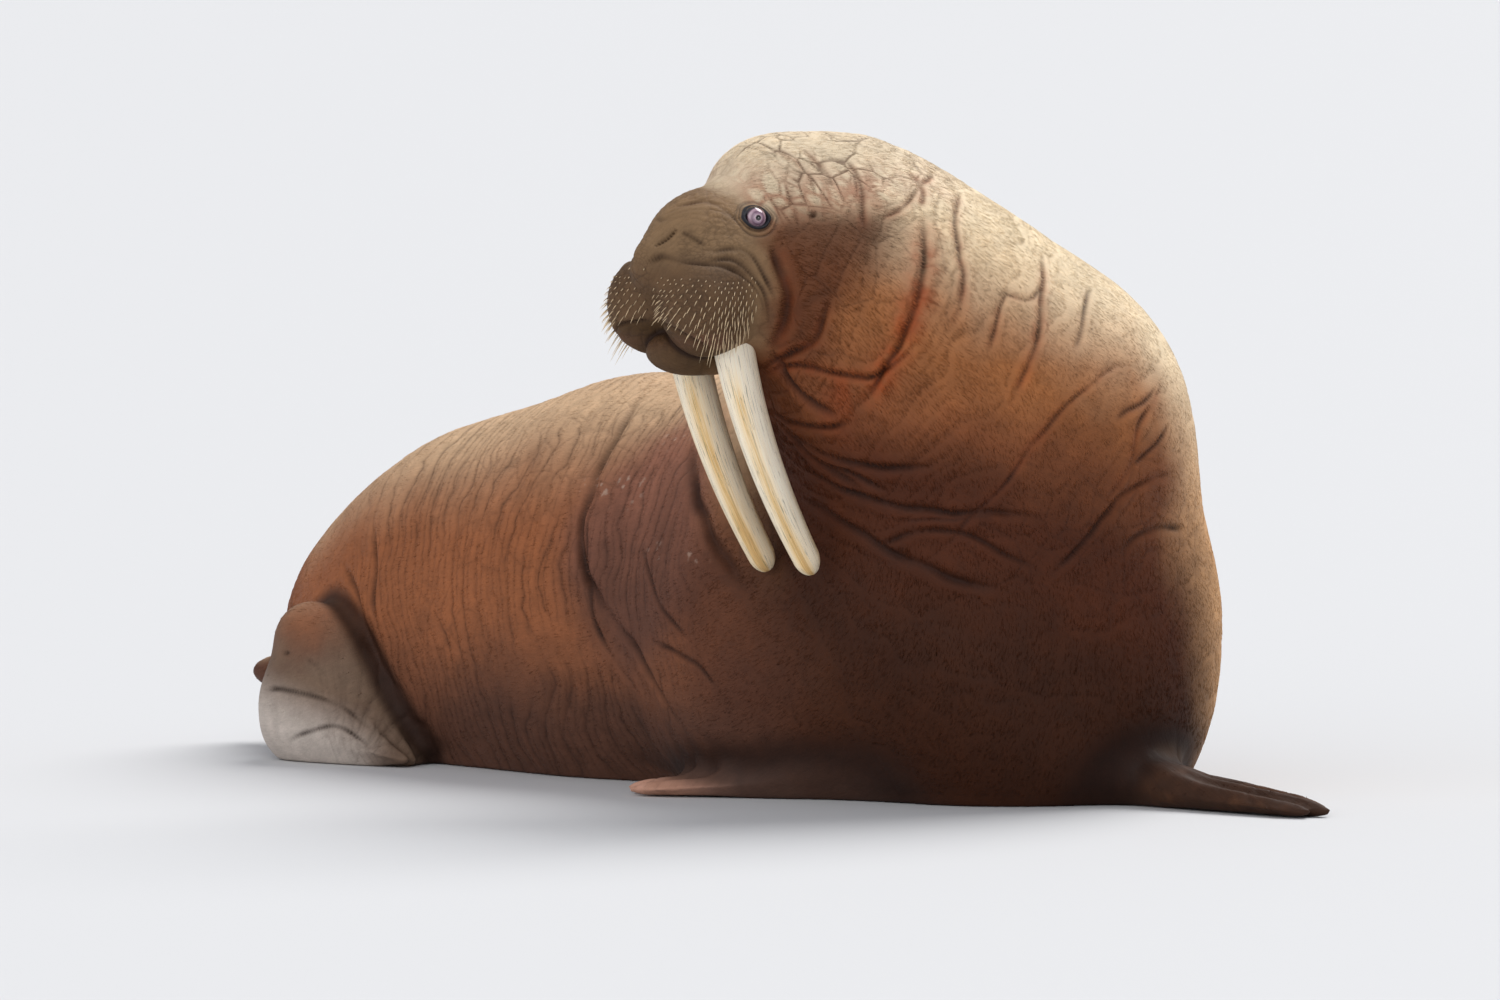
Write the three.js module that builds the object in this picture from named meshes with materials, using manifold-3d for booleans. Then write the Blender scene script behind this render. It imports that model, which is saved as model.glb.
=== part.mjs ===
// A life-size adult walrus lying on a level floor, its chest raised and its head turned back over its
// right side. Millimetres, +Z up, the head looking towards -X and a little towards -Y.
import * as THREE from 'three';
import { mergeVertices } from 'three/addons/utils/BufferGeometryUtils.js';
import Module from 'manifold-3d';

const wasm = await Module();
wasm.setup();

// The middle of the whole animal's footprint, which the exported group moves to the origin
const FOOTPRINT_CENTER = [30, 573];

// Clearances and cutting
const GAP = 0.3;
const BIG = 6000;

// Sizes of the cells that facet the skin
const TRUNK_CELL = 70;
const HEAD_CELL = 24;
const MUZZLE_CELL = 17;
const JAW_CELL = 18;
const TAIL_CELL = 24;
const LEG_CELL = 30;

// Rounding where shapes of flesh run together
const TRUNK_BLEND = 130;
const HEAD_BLEND = 35;
const NAPE_BLEND = 70;
const LEG_BLEND = 75;

// Head frame: the origin lies midway between the eyes, x forward, y to the walrus's left, z up
const HEAD_PLACE = [-45, -140, 1054];
const HEAD_YAW = 180 + 40;
const EYE = { at: [8, 0], facing: [0.34, 0.93, 0.08], radius: 22, opening: 18 };
const LID = { thickness: 6, stretch: 1.16 };
const EAR = { at: [-76, 6], width: 7, height: 10 };
const NOSTRIL = { path: [[150, 40, -8], [166, 34, -30], [178, 22, -52]], width: 4.5, depth: 9 };
const PAD = { center: [97, 64, -152], radii: [96, 77, 93], splay: 20 };
const TUSK = {
  root: [38, 64, -205],
  length: 430,
  sweep: 194,
  bow: 25,
  closing: 2,
  long: 42,
  wide: 31,
  tip: 0.62,
};
const WHISKER = { rows: 8, columns: 7, radius: 2.2, shortest: 10, longest: 52, sunk: 9, clearance: 7 };

// Flippers: the reach of each digit, first digit first, and from root to tip the half-width, the thickness
// and the height of the middle above the floor
const FORE = {
  length: 520,
  reach: [1, 1, 0.93, 0.84, 0.72],
  halfWidth: [85, 78, 88, 102, 112],
  thickness: [150, 104, 68, 50, 28],
  height: [70, 46, 27, 20, 11],
};
const HIND = {
  length: 305,
  reach: [1, 0.93, 0.9, 0.93, 1],
  halfWidth: [52, 62, 80, 96, 104],
  thickness: [176, 132, 90, 60, 30],
  height: [90, 66, 45, 29, 14],
};
const FLIPPERS = {
  flipper_fore_left: { sizes: FORE, root: [625, 50], heading: -35, mirror: -1 },
  flipper_fore_right: { sizes: FORE, root: [285, 85], heading: 163, mirror: 1 },
  flipper_hind_left: { sizes: HIND, root: [-640, 1420], heading: -2, mirror: 1, hind: true },
  flipper_hind_right: { sizes: HIND, root: [-866, 928], heading: -26, mirror: -1, hind: true },
};
const SHANK = { radii: [185, 112, 112], dip: 50, at: [102, 25, 142] };
const HEEL = { radii: [72, 72, 86], at: [36, 6, 80] };
const INSTEP = { radii: [125, 72, 50], dip: 14, at: [150, 0, 48] };
const PADDLE = { rows: 6, strips: 3, webbing: 0.42, notch: 0.05 };

const rad = THREE.MathUtils.degToRad;
const vec = (p) => new THREE.Vector3(...p);
const headFrame = new THREE.Matrix4().makeRotationZ(rad(HEAD_YAW)).setPosition(...HEAD_PLACE);
const inHead = (p) => vec(p).applyMatrix4(headFrame);
const headWay = (p) => vec(p).transformDirection(headFrame);
const SIDES = [['left', 1], ['right', -1]];

// Seeded numbers between 0 and 1
function randomStream(seed) {
  let state = seed;
  return () => {
    state = (state * 16807) % 2147483647;
    return state / 2147483647;
  };
}

// Flesh: smooth unions of ellipsoids, each with its centre, its half-lengths along, across and upright, its
// heading and its pitch in degrees
function ellipsoid(center, radii, heading = 0, pitch = 0, frame = new THREE.Matrix4()) {
  const turn = new THREE.Euler(0, rad(-pitch), rad(heading), 'ZYX');
  const place = new THREE.Matrix4().makeRotationFromEuler(turn).setPosition(...center);
  const m = frame.clone().multiply(place).invert().elements;
  const [a, b, c] = radii;
  return (x, y, z) => {
    const u = (m[0] * x + m[4] * y + m[8] * z + m[12]) / a;
    const v = (m[1] * x + m[5] * y + m[9] * z + m[13]) / b;
    const w = (m[2] * x + m[6] * y + m[10] * z + m[14]) / c;
    const near = Math.hypot(u, v, w);
    const slope = Math.hypot(u / a, v / b, w / c);
    return slope < 1e-9 ? -Math.min(a, b, c) : near * (near - 1) / slope;
  };
}

// A smooth union of two fields, rounded over the width k
function blend(a, b, k) {
  const h = Math.max(k - Math.abs(a - b), 0) / k;
  return Math.min(a, b) - h * h * k / 4;
}

function fleshOf(fields, k) {
  return (x, y, z) => fields.reduce((sum, field) => blend(sum, field(x, y, z), k), Infinity);
}

const trunkField = fleshOf([
  ellipsoid([-612, 1180, 200], [310, 230, 286], -32),
  ellipsoid([-430, 985, 265], [410, 312, 381], -38),
  ellipsoid([-150, 740, 300], [480, 374, 446], -40),
  ellipsoid([190, 440, 350], [460, 408, 450], -48),
  ellipsoid([55, 255, 250], [230, 205, 310], -45),
  ellipsoid([452, 160, 380], [350, 372, 500], -70),
  ellipsoid([585, 175, 230], [235, 250, 330], -70),
  ellipsoid([443, 60, 684], [325, 342, 318], -70),
  ellipsoid([262, -20, 868], [272, 272, 268], 0),
  ellipsoid([150, -15, 962], [185, 178, 235], 0),
], TRUNK_BLEND);

const inHeadFrame = (center, radii, heading, pitch) => ellipsoid(center, radii, heading, pitch, headFrame);
const bothSides = (make) => SIDES.map(([, s]) => make(s));
const padCenter = (s) => [PAD.center[0], s * PAD.center[1], PAD.center[2]];
const headField = fleshOf([
  inHeadFrame([-112, 0, 18], [135, 116, 128]),
  inHeadFrame([56, 0, -44], [122, 88, 93], 0, -30),
  ...bothSides((s) => inHeadFrame(padCenter(s), PAD.radii, s * PAD.splay)),
  inHeadFrame([146, 0, -85], [60, 46, 50]),
  ...bothSides((s) => inHeadFrame([10, s * 70, -110], [110, 62, 115])),
  inHeadFrame([-60, 0, -150], [130, 100, 120]),
], HEAD_BLEND);
const skinField = (x, y, z) => blend(trunkField(x, y, z), headField(x, y, z), NAPE_BLEND);

const jawField = fleshOf([
  inHeadFrame([105, 0, -234], [66, 50, 38]),
  inHeadFrame([20, 0, -236], [110, 38, 44]),
], HEAD_BLEND);

// The place where the way from a point first meets the skin, and the skin's outward normal there
function surfaceAt(field, from, way) {
  const p = from.clone();
  while (field(p.x, p.y, p.z) > 0.05) p.addScaledVector(way, Math.max(field(p.x, p.y, p.z) * 0.5, 0.05));
  const slope = [[1, 0, 0], [0, 1, 0], [0, 0, 1]].map(([i, j, k]) =>
    field(p.x + i, p.y + j, p.z + k) - field(p.x - i, p.y - j, p.z - k));
  return { point: p, normal: vec(slope).normalize() };
}

// A closed skin of quads over a field's zero level, with one corner in each cell that the level crosses
function skin(field, low, high, cell, place = new THREE.Matrix4()) {
  const [nx, ny, nz] = low.map((v, i) => Math.ceil((high[i] - v) / cell) + 1);
  const at = (i, j, k) => (k * ny + j) * nx + i;
  const corner = (i, j, k) => [low[0] + i * cell, low[1] + j * cell, low[2] + k * cell];
  const eachCell = (from, visit) => {
    for (let k = from; k < nz - 1; k += 1) {
      for (let j = from; j < ny - 1; j += 1) {
        for (let i = from; i < nx - 1; i += 1) visit(i, j, k);
      }
    }
  };
  const values = new Float64Array(nx * ny * nz).fill(cell);
  eachCell(2, (i, j, k) => {
    values[at(i, j, k)] = field(...corner(i, j, k));
  });
  const steps = [[1, 0, 0], [0, 1, 0], [0, 0, 1]];
  while (fillDiagonals(values, at, steps, eachCell, cell)) continue;
  const points = [];
  const owner = new Int32Array(values.length);
  eachCell(0, (i, j, k) => {
    const point = crossingMean(values, at, corner, cell, [i, j, k]);
    if (!point) return;
    owner[at(i, j, k)] = points.length / 3;
    points.push(...settle(field, point, cell));
  });
  const faces = [];
  eachCell(1, (i, j, k) => {
    steps.forEach(([di, dj, dk], axis) => {
      const inside = values[at(i, j, k)] < 0;
      if (inside === values[at(i + di, j + dj, k + dk)] < 0) return;
      const b = steps[(axis + 1) % 3];
      const c = steps[(axis + 2) % 3];
      const ring = [[0, 0], [1, 0], [1, 1], [0, 1]].map(([m, n]) =>
        owner[at(i - m * b[0] - n * c[0], j - m * b[1] - n * c[1], k - m * b[2] - n * c[2])]);
      faces.push(...splitQuad(points, inside ? ring : ring.reverse()));
    });
  });
  return solidOf(makeGeometry(points, faces).applyMatrix4(place));
}

// Fills one corner of each grid square that the inside meets only across its diagonal, and tells if it did
function fillDiagonals(values, at, steps, eachCell, cell) {
  let filled = false;
  eachCell(1, (i, j, k) => {
    steps.forEach((_, axis) => {
      const b = steps[(axis + 1) % 3];
      const c = steps[(axis + 2) % 3];
      const ring = [[0, 0], [1, 0], [1, 1], [0, 1]].map(([m, n]) =>
        at(i + m * b[0] + n * c[0], j + m * b[1] + n * c[1], k + m * b[2] + n * c[2]));
      const inside = ring.map((n) => values[n] < 0);
      if (inside[0] !== inside[2] || inside[1] !== inside[3] || inside[0] === inside[1]) return;
      values[ring[inside[0] ? 1 : 0]] = -0.05 * cell;
      filled = true;
    });
  });
  return filled;
}

// The mean of the places where a cell's twelve edges cross the zero level
function crossingMean(values, at, corner, cell, index) {
  const sum = [0, 0, 0];
  let crossings = 0;
  for (let edge = 0; edge < 12; edge += 1) {
    const axis = edge % 3;
    const start = index.slice();
    start[(axis + 1) % 3] += Math.floor(edge / 3) % 2;
    start[(axis + 2) % 3] += Math.floor(edge / 6);
    const end = start.slice();
    end[axis] += 1;
    const a = values[at(...start)];
    const b = values[at(...end)];
    if (a < 0 === b < 0) continue;
    const place = corner(...start);
    place[axis] += cell * a / (a - b);
    place.forEach((v, d) => { sum[d] += v; });
    crossings += 1;
  }
  return crossings ? sum.map((v) => v / crossings) : null;
}

// Moves a point onto the zero level, by at most half a cell each way
function settle(field, point, cell) {
  const p = point.slice();
  const step = cell * 0.05;
  for (let turn = 0; turn < 4; turn += 1) {
    const d = field(...p);
    const slope = p.map((_, axis) => {
      const q = p.slice();
      q[axis] += step;
      return (field(...q) - d) / step;
    });
    const size = Math.max(slope.reduce((sum, v) => sum + v * v, 0), 0.05);
    slope.forEach((v, axis) => { p[axis] -= d * v / size; });
  }
  return p.map((v, axis) => THREE.MathUtils.clamp(v, point[axis] - cell / 2, point[axis] + cell / 2));
}

function splitQuad(points, [a, b, c, d]) {
  const across = (m, n) =>
    Math.hypot(...[0, 1, 2].map((axis) => points[3 * m + axis] - points[3 * n + axis]));
  return across(a, c) < across(b, d) ? [a, b, c, a, c, d] : [a, b, d, b, c, d];
}

function makeGeometry(points, faces) {
  const geometry = new THREE.BufferGeometry();
  geometry.setAttribute('position', new THREE.Float32BufferAttribute(points, 3));
  geometry.setIndex(faces);
  return geometry;
}

// Solids and geometries, and the cuts between nodes
function solidOf(geometry) {
  const bare = geometry.clone();
  bare.deleteAttribute('normal');
  bare.deleteAttribute('uv');
  const merged = mergeVertices(bare, 1e-3);
  return new wasm.Manifold(new wasm.Mesh({
    numProp: 3,
    vertProperties: new Float32Array(merged.attributes.position.array),
    triVerts: new Uint32Array(merged.index.array),
  }));
}

function geometryOf(solid) {
  const mesh = solid.getMesh();
  return makeGeometry(Array.from(mesh.vertProperties), Array.from(mesh.triVerts));
}

function largest(solid) {
  return solid.decompose().reduce((a, b) => (a.volume() > b.volume() ? a : b), solid.subtract(solid));
}

// The same solid with each of its facets pushed out by at least the gap that keeps neighbours apart
function swollen(solid, by = GAP) {
  const geometry = geometryOf(solid);
  const { position } = geometry.attributes;
  const corners = geometry.index.array;
  const facing = Array.from({ length: position.count }, () => []);
  const triangle = new THREE.Triangle();
  for (let i = 0; i < corners.length; i += 3) {
    triangle.setFromAttributeAndIndices(position, corners[i], corners[i + 1], corners[i + 2]);
    const normal = triangle.getNormal(new THREE.Vector3());
    for (let n = 0; n < 3; n += 1) facing[corners[i + n]].push(normal);
  }
  facing.forEach((normals, i) => {
    const shift = new THREE.Vector3();
    for (let turn = 0; turn < 12; turn += 1) {
      normals.forEach((normal) => shift.addScaledVector(normal, Math.max(by - shift.dot(normal), 0)));
    }
    shift.add(new THREE.Vector3().fromBufferAttribute(position, i));
    position.setXYZ(i, ...shift.toArray());
  });
  return solidOf(geometry);
}

function cutAway(solid, ...others) {
  return largest(others.reduce((left, other) => left.subtract(swollen(other)), solid));
}

function halfSpace(point, normal, shift = 0) {
  const turn = new THREE.Quaternion().setFromUnitVectors(vec([0, 0, 1]), normal);
  const box = new THREE.BoxGeometry(BIG, BIG, BIG).translate(0, 0, BIG / 2 + shift);
  return solidOf(box.applyQuaternion(turn).translate(...point.toArray()));
}

// Parts a solid at a plane and gives what lies ahead of it and what lies behind it
function part(solid, point, normal) {
  const way = normal.clone().normalize();
  return [
    largest(solid.intersect(halfSpace(point, way, GAP / 2))),
    largest(solid.subtract(halfSpace(point, way, -GAP / 2))),
  ];
}

// A closed rod of oval section along a curve, with its half-widths along a given way and square to it
function rod(curve, stations, facets, way, sizeAt) {
  const points = [];
  for (let i = 0; i <= stations; i += 1) {
    const center = curve.getPointAt(i / stations);
    const tangent = curve.getTangentAt(i / stations);
    const across = way.clone().addScaledVector(tangent, -way.dot(tangent)).normalize();
    const upright = tangent.clone().cross(across);
    const [wide, high] = sizeAt(i / stations);
    for (let j = 0; j < facets; j += 1) {
      const angle = 2 * Math.PI * j / facets;
      const place = center.clone()
        .addScaledVector(across, wide * Math.cos(angle))
        .addScaledVector(upright, high * Math.sin(angle));
      points.push(...place.toArray());
    }
  }
  const faces = [];
  for (let i = 0; i < stations; i += 1) {
    for (let j = 0; j < facets; j += 1) {
      const a = i * facets + j;
      const b = i * facets + (j + 1) % facets;
      faces.push(a, b, b + facets, a, b + facets, a + facets);
    }
  }
  const last = stations * facets;
  for (let j = 1; j < facets - 1; j += 1) {
    faces.push(0, j + 1, j, last, last + j, last + j + 1);
  }
  return solidOf(makeGeometry(points, faces));
}

// Materials, with the photograph's colours
const paint = (color, roughness) => new THREE.MeshStandardMaterial({ color, roughness, metalness: 0 });
const HIDE = paint(0x8a5a3c, 0.8);
const FACE = paint(0x76604c, 0.75);
const FLIPPER = paint(0x6b5348, 0.75);
const IVORY = paint(0xe8dcc0, 0.45);
const EYE_PAINT = paint(0x6f5f66, 0.15);

const walrus = new THREE.Group();
walrus.position.set(-FOOTPRINT_CENTER[0], -FOOTPRINT_CENTER[1], 0);

function addNode(name, solid, material) {
  const mesh = new THREE.Mesh(geometryOf(solid), material);
  mesh.name = name;
  walrus.add(mesh);
}

// The planes where a person would part the body, each by a point and the way to the animal's front
const CUTS = {
  hips: { point: vec([-440, 950, 300]), ahead: vec([0.84, -0.54, 0]) },
  shoulders: { point: vec([10, 600, 400]), ahead: vec([0.75, -0.66, 0]) },
  neck: { point: vec([440, 60, 660]), ahead: vec([-0.35, -0.2, 0.9]) },
  head: { point: inHead([-145, 0, 0]), ahead: headWay([0.94, 0, 0.34]) },
  muzzle: { point: inHead([78, 0, -120]), ahead: headWay([0.838, 0, -0.545]) },
};
Object.values(CUTS).forEach((cut) => cut.ahead.normalize());
const aheadOf = (cut, p) => p.clone().sub(cut.point).dot(cut.ahead);
const partAt = (solid, cut) => part(solid, cut.point, cut.ahead);
const floor = halfSpace(vec([0, 0, 0]), vec([0, 0, 1]));

// The trunk, coarse, cut into its lengths
const TRUNK_BOX = [[-1300, -800, -400], [1200, 1800, 1500]];
const wholeTrunk = skin(skinField, ...TRUNK_BOX, TRUNK_CELL).intersect(floor);
const [front, back] = partAt(wholeTrunk, CUTS.shoulders);
const [torso, hindquarters] = partAt(back, CUTS.hips);
const [upper, chest] = partAt(front, CUTS.neck);
const neck = partAt(upper, CUTS.head)[1];

// The head and the muzzle, finer, each meshed a little past its cuts
const HEAD_BOX = [[-480, -560, 640], [330, 280, 1320]];
const MUZZLE_BOX = [[-480, -560, 740], [200, 120, 1320]];
const MARGIN = 60;
function clipped(field, cut, sign) {
  return (x, y, z) => Math.max(field(x, y, z), sign * aheadOf(cut, vec([x, y, z])) - MARGIN);
}
const headSkin = skin(clipped(clipped(skinField, CUTS.head, -1), CUTS.muzzle, 1), ...HEAD_BOX, HEAD_CELL);
const muzzleSkin = skin(clipped(skinField, CUTS.muzzle, -1), ...MUZZLE_BOX, MUZZLE_CELL);
const plainHead = partAt(partAt(headSkin, CUTS.head)[0], CUTS.muzzle)[1];
const plainMuzzle = partAt(partAt(muzzleSkin, CUTS.muzzle)[0], CUTS.head)[0];

// Eyes, with a raised ring of lids around each, and the small ear openings behind them
const eyeHolds = bothSides((s) => {
  const { point } = surfaceAt(skinField, inHead([EYE.at[0], s * 260, EYE.at[1]]), headWay([0, -s, 0]));
  const normal = headWay([EYE.facing[0], s * EYE.facing[1], EYE.facing[2]]);
  const along = headWay([1, 0, 0]);
  along.addScaledVector(normal, -along.dot(normal)).normalize();
  const upright = normal.clone().cross(along);
  const place = new THREE.Matrix4().makeBasis(along, upright, normal).setPosition(point);
  const depth = Math.sqrt(EYE.radius ** 2 - EYE.opening ** 2);
  const ball = new THREE.IcosahedronGeometry(EYE.radius, 2).translate(0, 0, 3 - depth);
  const lids = new THREE.TorusGeometry(EYE.opening + LID.thickness * 0.6, LID.thickness, 6, 16);
  lids.scale(LID.stretch, 1, 1.1);
  return { ball: solidOf(ball.applyMatrix4(place)), lids: solidOf(lids.applyMatrix4(place)) };
});
const earDimples = bothSides((s) => {
  const { point } = surfaceAt(skinField, inHead([EAR.at[0], s * 300, EAR.at[1]]), headWay([0, -s, 0]));
  const dimple = new THREE.IcosahedronGeometry(1, 1).scale(EAR.width, EAR.width, EAR.height);
  return solidOf(dimple.translate(...point.toArray()));
});

// Nostrils: two curved slits that turn in towards the lip
const nostrils = bothSides((s) => {
  const towards = headWay([-0.83, 0, -0.55]);
  const path = NOSTRIL.path.map(([x, y, z]) =>
    surfaceAt(skinField, inHead([x, s * y, z]).addScaledVector(towards, -120), towards).point);
  const curve = new THREE.CatmullRomCurve3(path);
  return rod(curve, 6, 6, towards, (t) => {
    const fade = 0.35 + 0.65 * Math.sin(Math.PI * Math.min(Math.max(t, 0.04), 0.96));
    return [NOSTRIL.depth * fade, NOSTRIL.width * fade];
  });
});

// Tusks, curved back and in, oval, each cut off where it comes out of the lip
const tuskCurves = bothSides((s) => {
  const [x, y, z] = TUSK.root;
  const back = (t) => TUSK.sweep * t + TUSK.bow * 4 * t * (t - 1);
  const at = (t) => inHead([x - back(t), s * (y - TUSK.closing * t), z - TUSK.length * t]);
  return new THREE.CatmullRomCurve3([0, 0.25, 0.5, 0.75, 1].map(at));
});
const wholeTusks = tuskCurves.map((curve) => rod(curve, 11, 10, headWay([1, 0, 0]), (t) => {
  const taper = 1 - (1 - TUSK.tip) * t;
  const round = Math.sqrt(Math.max(1 - Math.max((t - 0.93) / 0.07, 0) ** 2 * 0.9, 0));
  return [TUSK.long * taper * round, TUSK.wide * taper * round];
}));

// Whiskers: tapered spines in rows over the pads, longest low down and at the sides
function whiskers(side) {
  const random = randomStream(side > 0 ? 4111 : 7307);
  const spines = [];
  const pad = inHead(padCenter(side));
  const tuskPoints = tuskCurves.flatMap((curve) => curve.getPoints(24));
  for (let row = 0; row < WHISKER.rows; row += 1) {
    for (let column = 0; column < WHISKER.columns; column += 1) {
      const low = (row + 0.3 * random()) / WHISKER.rows;
      const out = (column + 0.5 * (row % 2) + 0.3 * random()) / WHISKER.columns;
      const pitch = rad(34 - 92 * low);
      const yaw = rad(-32 + 128 * out);
      const level = Math.cos(pitch);
      const ray = headWay([level * Math.cos(yaw), side * level * Math.sin(yaw), Math.sin(pitch)]);
      const start = pad.clone().addScaledVector(ray, 160);
      const { point, normal } = surfaceAt(skinField, start, ray.clone().negate());
      const grown = low ** 1.4 * (0.75 + 0.25 * out);
      const length = THREE.MathUtils.lerp(WHISKER.shortest, WHISKER.longest, grown) * (0.8 + 0.4 * random());
      const way = normal.clone().add(headWay([0.1, 0, -1]).multiplyScalar(0.9)).normalize();
      const tip = point.clone().addScaledVector(way, length);
      const droop = headWay([0, 0, -1]).multiplyScalar(length * 0.18);
      const middle = point.clone().addScaledVector(way, length * 0.55);
      const clear = [middle, tip.clone().add(droop)].every((p) =>
        jawField(p.x, p.y, p.z) > WHISKER.clearance &&
        tuskPoints.every((q) => q.distanceTo(p) > TUSK.long + WHISKER.clearance));
      const ownSide = point.clone().sub(inHead([0, 0, 0])).dot(headWay([0, side, 0])) > 9;
      if (!clear || !ownSide || aheadOf(CUTS.muzzle, point) < 14) continue;
      spines.push(spine(point.clone().addScaledVector(way, -WHISKER.sunk), middle, tip.add(droop)));
    }
  }
  return spines;
}

// A spine of three sides with one bend
function spine(root, middle, tip) {
  const way = tip.clone().sub(root).normalize();
  const side = way.clone().cross(vec([0, 0, 1])).normalize();
  const upright = side.clone().cross(way);
  const points = [root, middle].flatMap((center, i) => [0, 1, 2].flatMap((n) => {
    const radius = WHISKER.radius * (1 - 0.35 * i);
    const angle = n * Math.PI * 2 / 3;
    return center.clone().addScaledVector(side, radius * Math.cos(angle))
      .addScaledVector(upright, radius * Math.sin(angle)).toArray();
  }));
  points.push(...tip.toArray());
  const faces = [0, 1, 2];
  for (let n = 0; n < 3; n += 1) {
    const m = (n + 1) % 3;
    faces.push(n, n + 3, m, m, n + 3, m + 3, n + 3, 6, m + 3);
  }
  return solidOf(makeGeometry(points, faces));
}

// A value read off evenly spaced stations from root to tip
function readOff(stations, t) {
  const last = stations.length - 1;
  const i = Math.min(Math.floor(t * last), last - 1);
  return THREE.MathUtils.lerp(stations[i], stations[i + 1], t * last - i);
}

const LEG_BOX = [[-180, -240, -120], [380, 240, 380]];

// A flipper: a paddle of five webbed digits, with a shank, a heel and an instep at the root of a hind one
function flipper({ sizes, root, heading, mirror, hind }) {
  const columns = sizes.reach.length * PADDLE.strips;
  const points = [];
  for (const face of [1, -1]) {
    for (let i = 0; i <= PADDLE.rows; i += 1) {
      for (let j = 0; j <= columns; j += 1) {
        const t = i / PADDLE.rows;
        const across = j / columns;
        const between = 0.5 + 0.5 * Math.cos(2 * Math.PI * j / PADDLE.strips);
        const fanned = THREE.MathUtils.smoothstep(t, 0.3, 0.75);
        const reach = readOff([sizes.reach[0], ...sizes.reach, sizes.reach.at(-1)], across);
        const oval = Math.sqrt(1 - (2 * across - 1) ** 2 * THREE.MathUtils.lerp(0.96, 0.75, fanned));
        const half = readOff(sizes.thickness, t) / 2 * oval * (1 - PADDLE.webbing * between * fanned);
        points.push(sizes.length * t * reach * (1 - PADDLE.notch * between * fanned),
          mirror * readOff(sizes.halfWidth, t) * (1 - 2 * across), readOff(sizes.height, t) + face * half);
      }
    }
  }
  const bottom = (PADDLE.rows + 1) * (columns + 1);
  const at = (i, j) => i * (columns + 1) + j;
  const faces = [];
  const quad = (a, b, c, d) => faces.push(a, b, c, a, c, d);
  for (let i = 0; i < PADDLE.rows; i += 1) {
    for (let j = 0; j < columns; j += 1) {
      quad(at(i, j), at(i, j + 1), at(i + 1, j + 1), at(i + 1, j));
      quad(bottom + at(i, j), bottom + at(i + 1, j), bottom + at(i + 1, j + 1), bottom + at(i, j + 1));
    }
    quad(at(i, 0), at(i + 1, 0), bottom + at(i + 1, 0), bottom + at(i, 0));
    quad(at(i + 1, columns), at(i, columns), bottom + at(i, columns), bottom + at(i + 1, columns));
  }
  for (let j = 0; j < columns; j += 1) {
    const tip = PADDLE.rows;
    quad(at(0, j + 1), at(0, j), bottom + at(0, j), bottom + at(0, j + 1));
    quad(at(tip, j), at(tip, j + 1), bottom + at(tip, j + 1), bottom + at(tip, j));
  }
  if (mirror < 0) faces.reverse();
  const place = new THREE.Matrix4().makeRotationZ(rad(heading)).setPosition(root[0], root[1], 0);
  const paddle = solidOf(makeGeometry(points, faces).applyMatrix4(place));
  if (!hind) return paddle.intersect(floor);
  const inward = ([x, y, z]) => [x, -mirror * y, z];
  const legField = fleshOf([
    ellipsoid(inward(SHANK.at), SHANK.radii, 0, -SHANK.dip),
    ellipsoid(inward(HEEL.at), HEEL.radii),
    ellipsoid(inward(INSTEP.at), INSTEP.radii, 0, -INSTEP.dip),
  ], LEG_BLEND);
  return paddle.add(skin(legField, ...LEG_BOX, LEG_CELL, place)).intersect(floor);
}

const tailField = ellipsoid([-862, 1290, 138], [115, 52, 43], -28);
const tail = skin(tailField, [-1100, 1100, 20], [-600, 1500, 280], TAIL_CELL);

addNode('hindquarters', hindquarters, HIDE);
addNode('torso', torso, HIDE);
addNode('chest', chest, HIDE);
addNode('neck', neck, HIDE);
addNode('tail', cutAway(tail, hindquarters), HIDE);

const eyeSockets = eyeHolds.map(({ ball }) => swollen(ball));
const liddedHead = eyeHolds.reduce((solid, { lids }) => solid.add(lids), plainHead);
const headHoles = [...eyeSockets, ...earDimples];
const head = largest(headHoles.reduce((solid, hole) => solid.subtract(hole), liddedHead));
const barePads = largest(nostrils.reduce((solid, slit) => solid.subtract(slit), plainMuzzle));
const jaw = cutAway(skin(jawField, ...MUZZLE_BOX, JAW_CELL), plainMuzzle, plainHead);
const muzzle = largest(bothSides(whiskers).flat().reduce((solid, one) => solid.add(one), barePads));
addNode('head', head, FACE);
addNode('muzzle', muzzle, FACE);
addNode('lower_jaw', jaw, FACE);
SIDES.forEach(([name], i) => {
  addNode(`eye_${name}`, eyeHolds[i].ball, EYE_PAINT);
  addNode(`tusk_${name}`, cutAway(wholeTusks[i], plainMuzzle, plainHead, jaw), IVORY);
});
Object.entries(FLIPPERS).forEach(([name, sizes]) => {
  addNode(name, cutAway(flipper(sizes), hindquarters, torso, chest), FLIPPER);
});

export default walrus;
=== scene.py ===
# The looks of a life-size walrus: one skin over all the flesh, whiskers, short fur, eyes and tusks
import math

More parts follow.
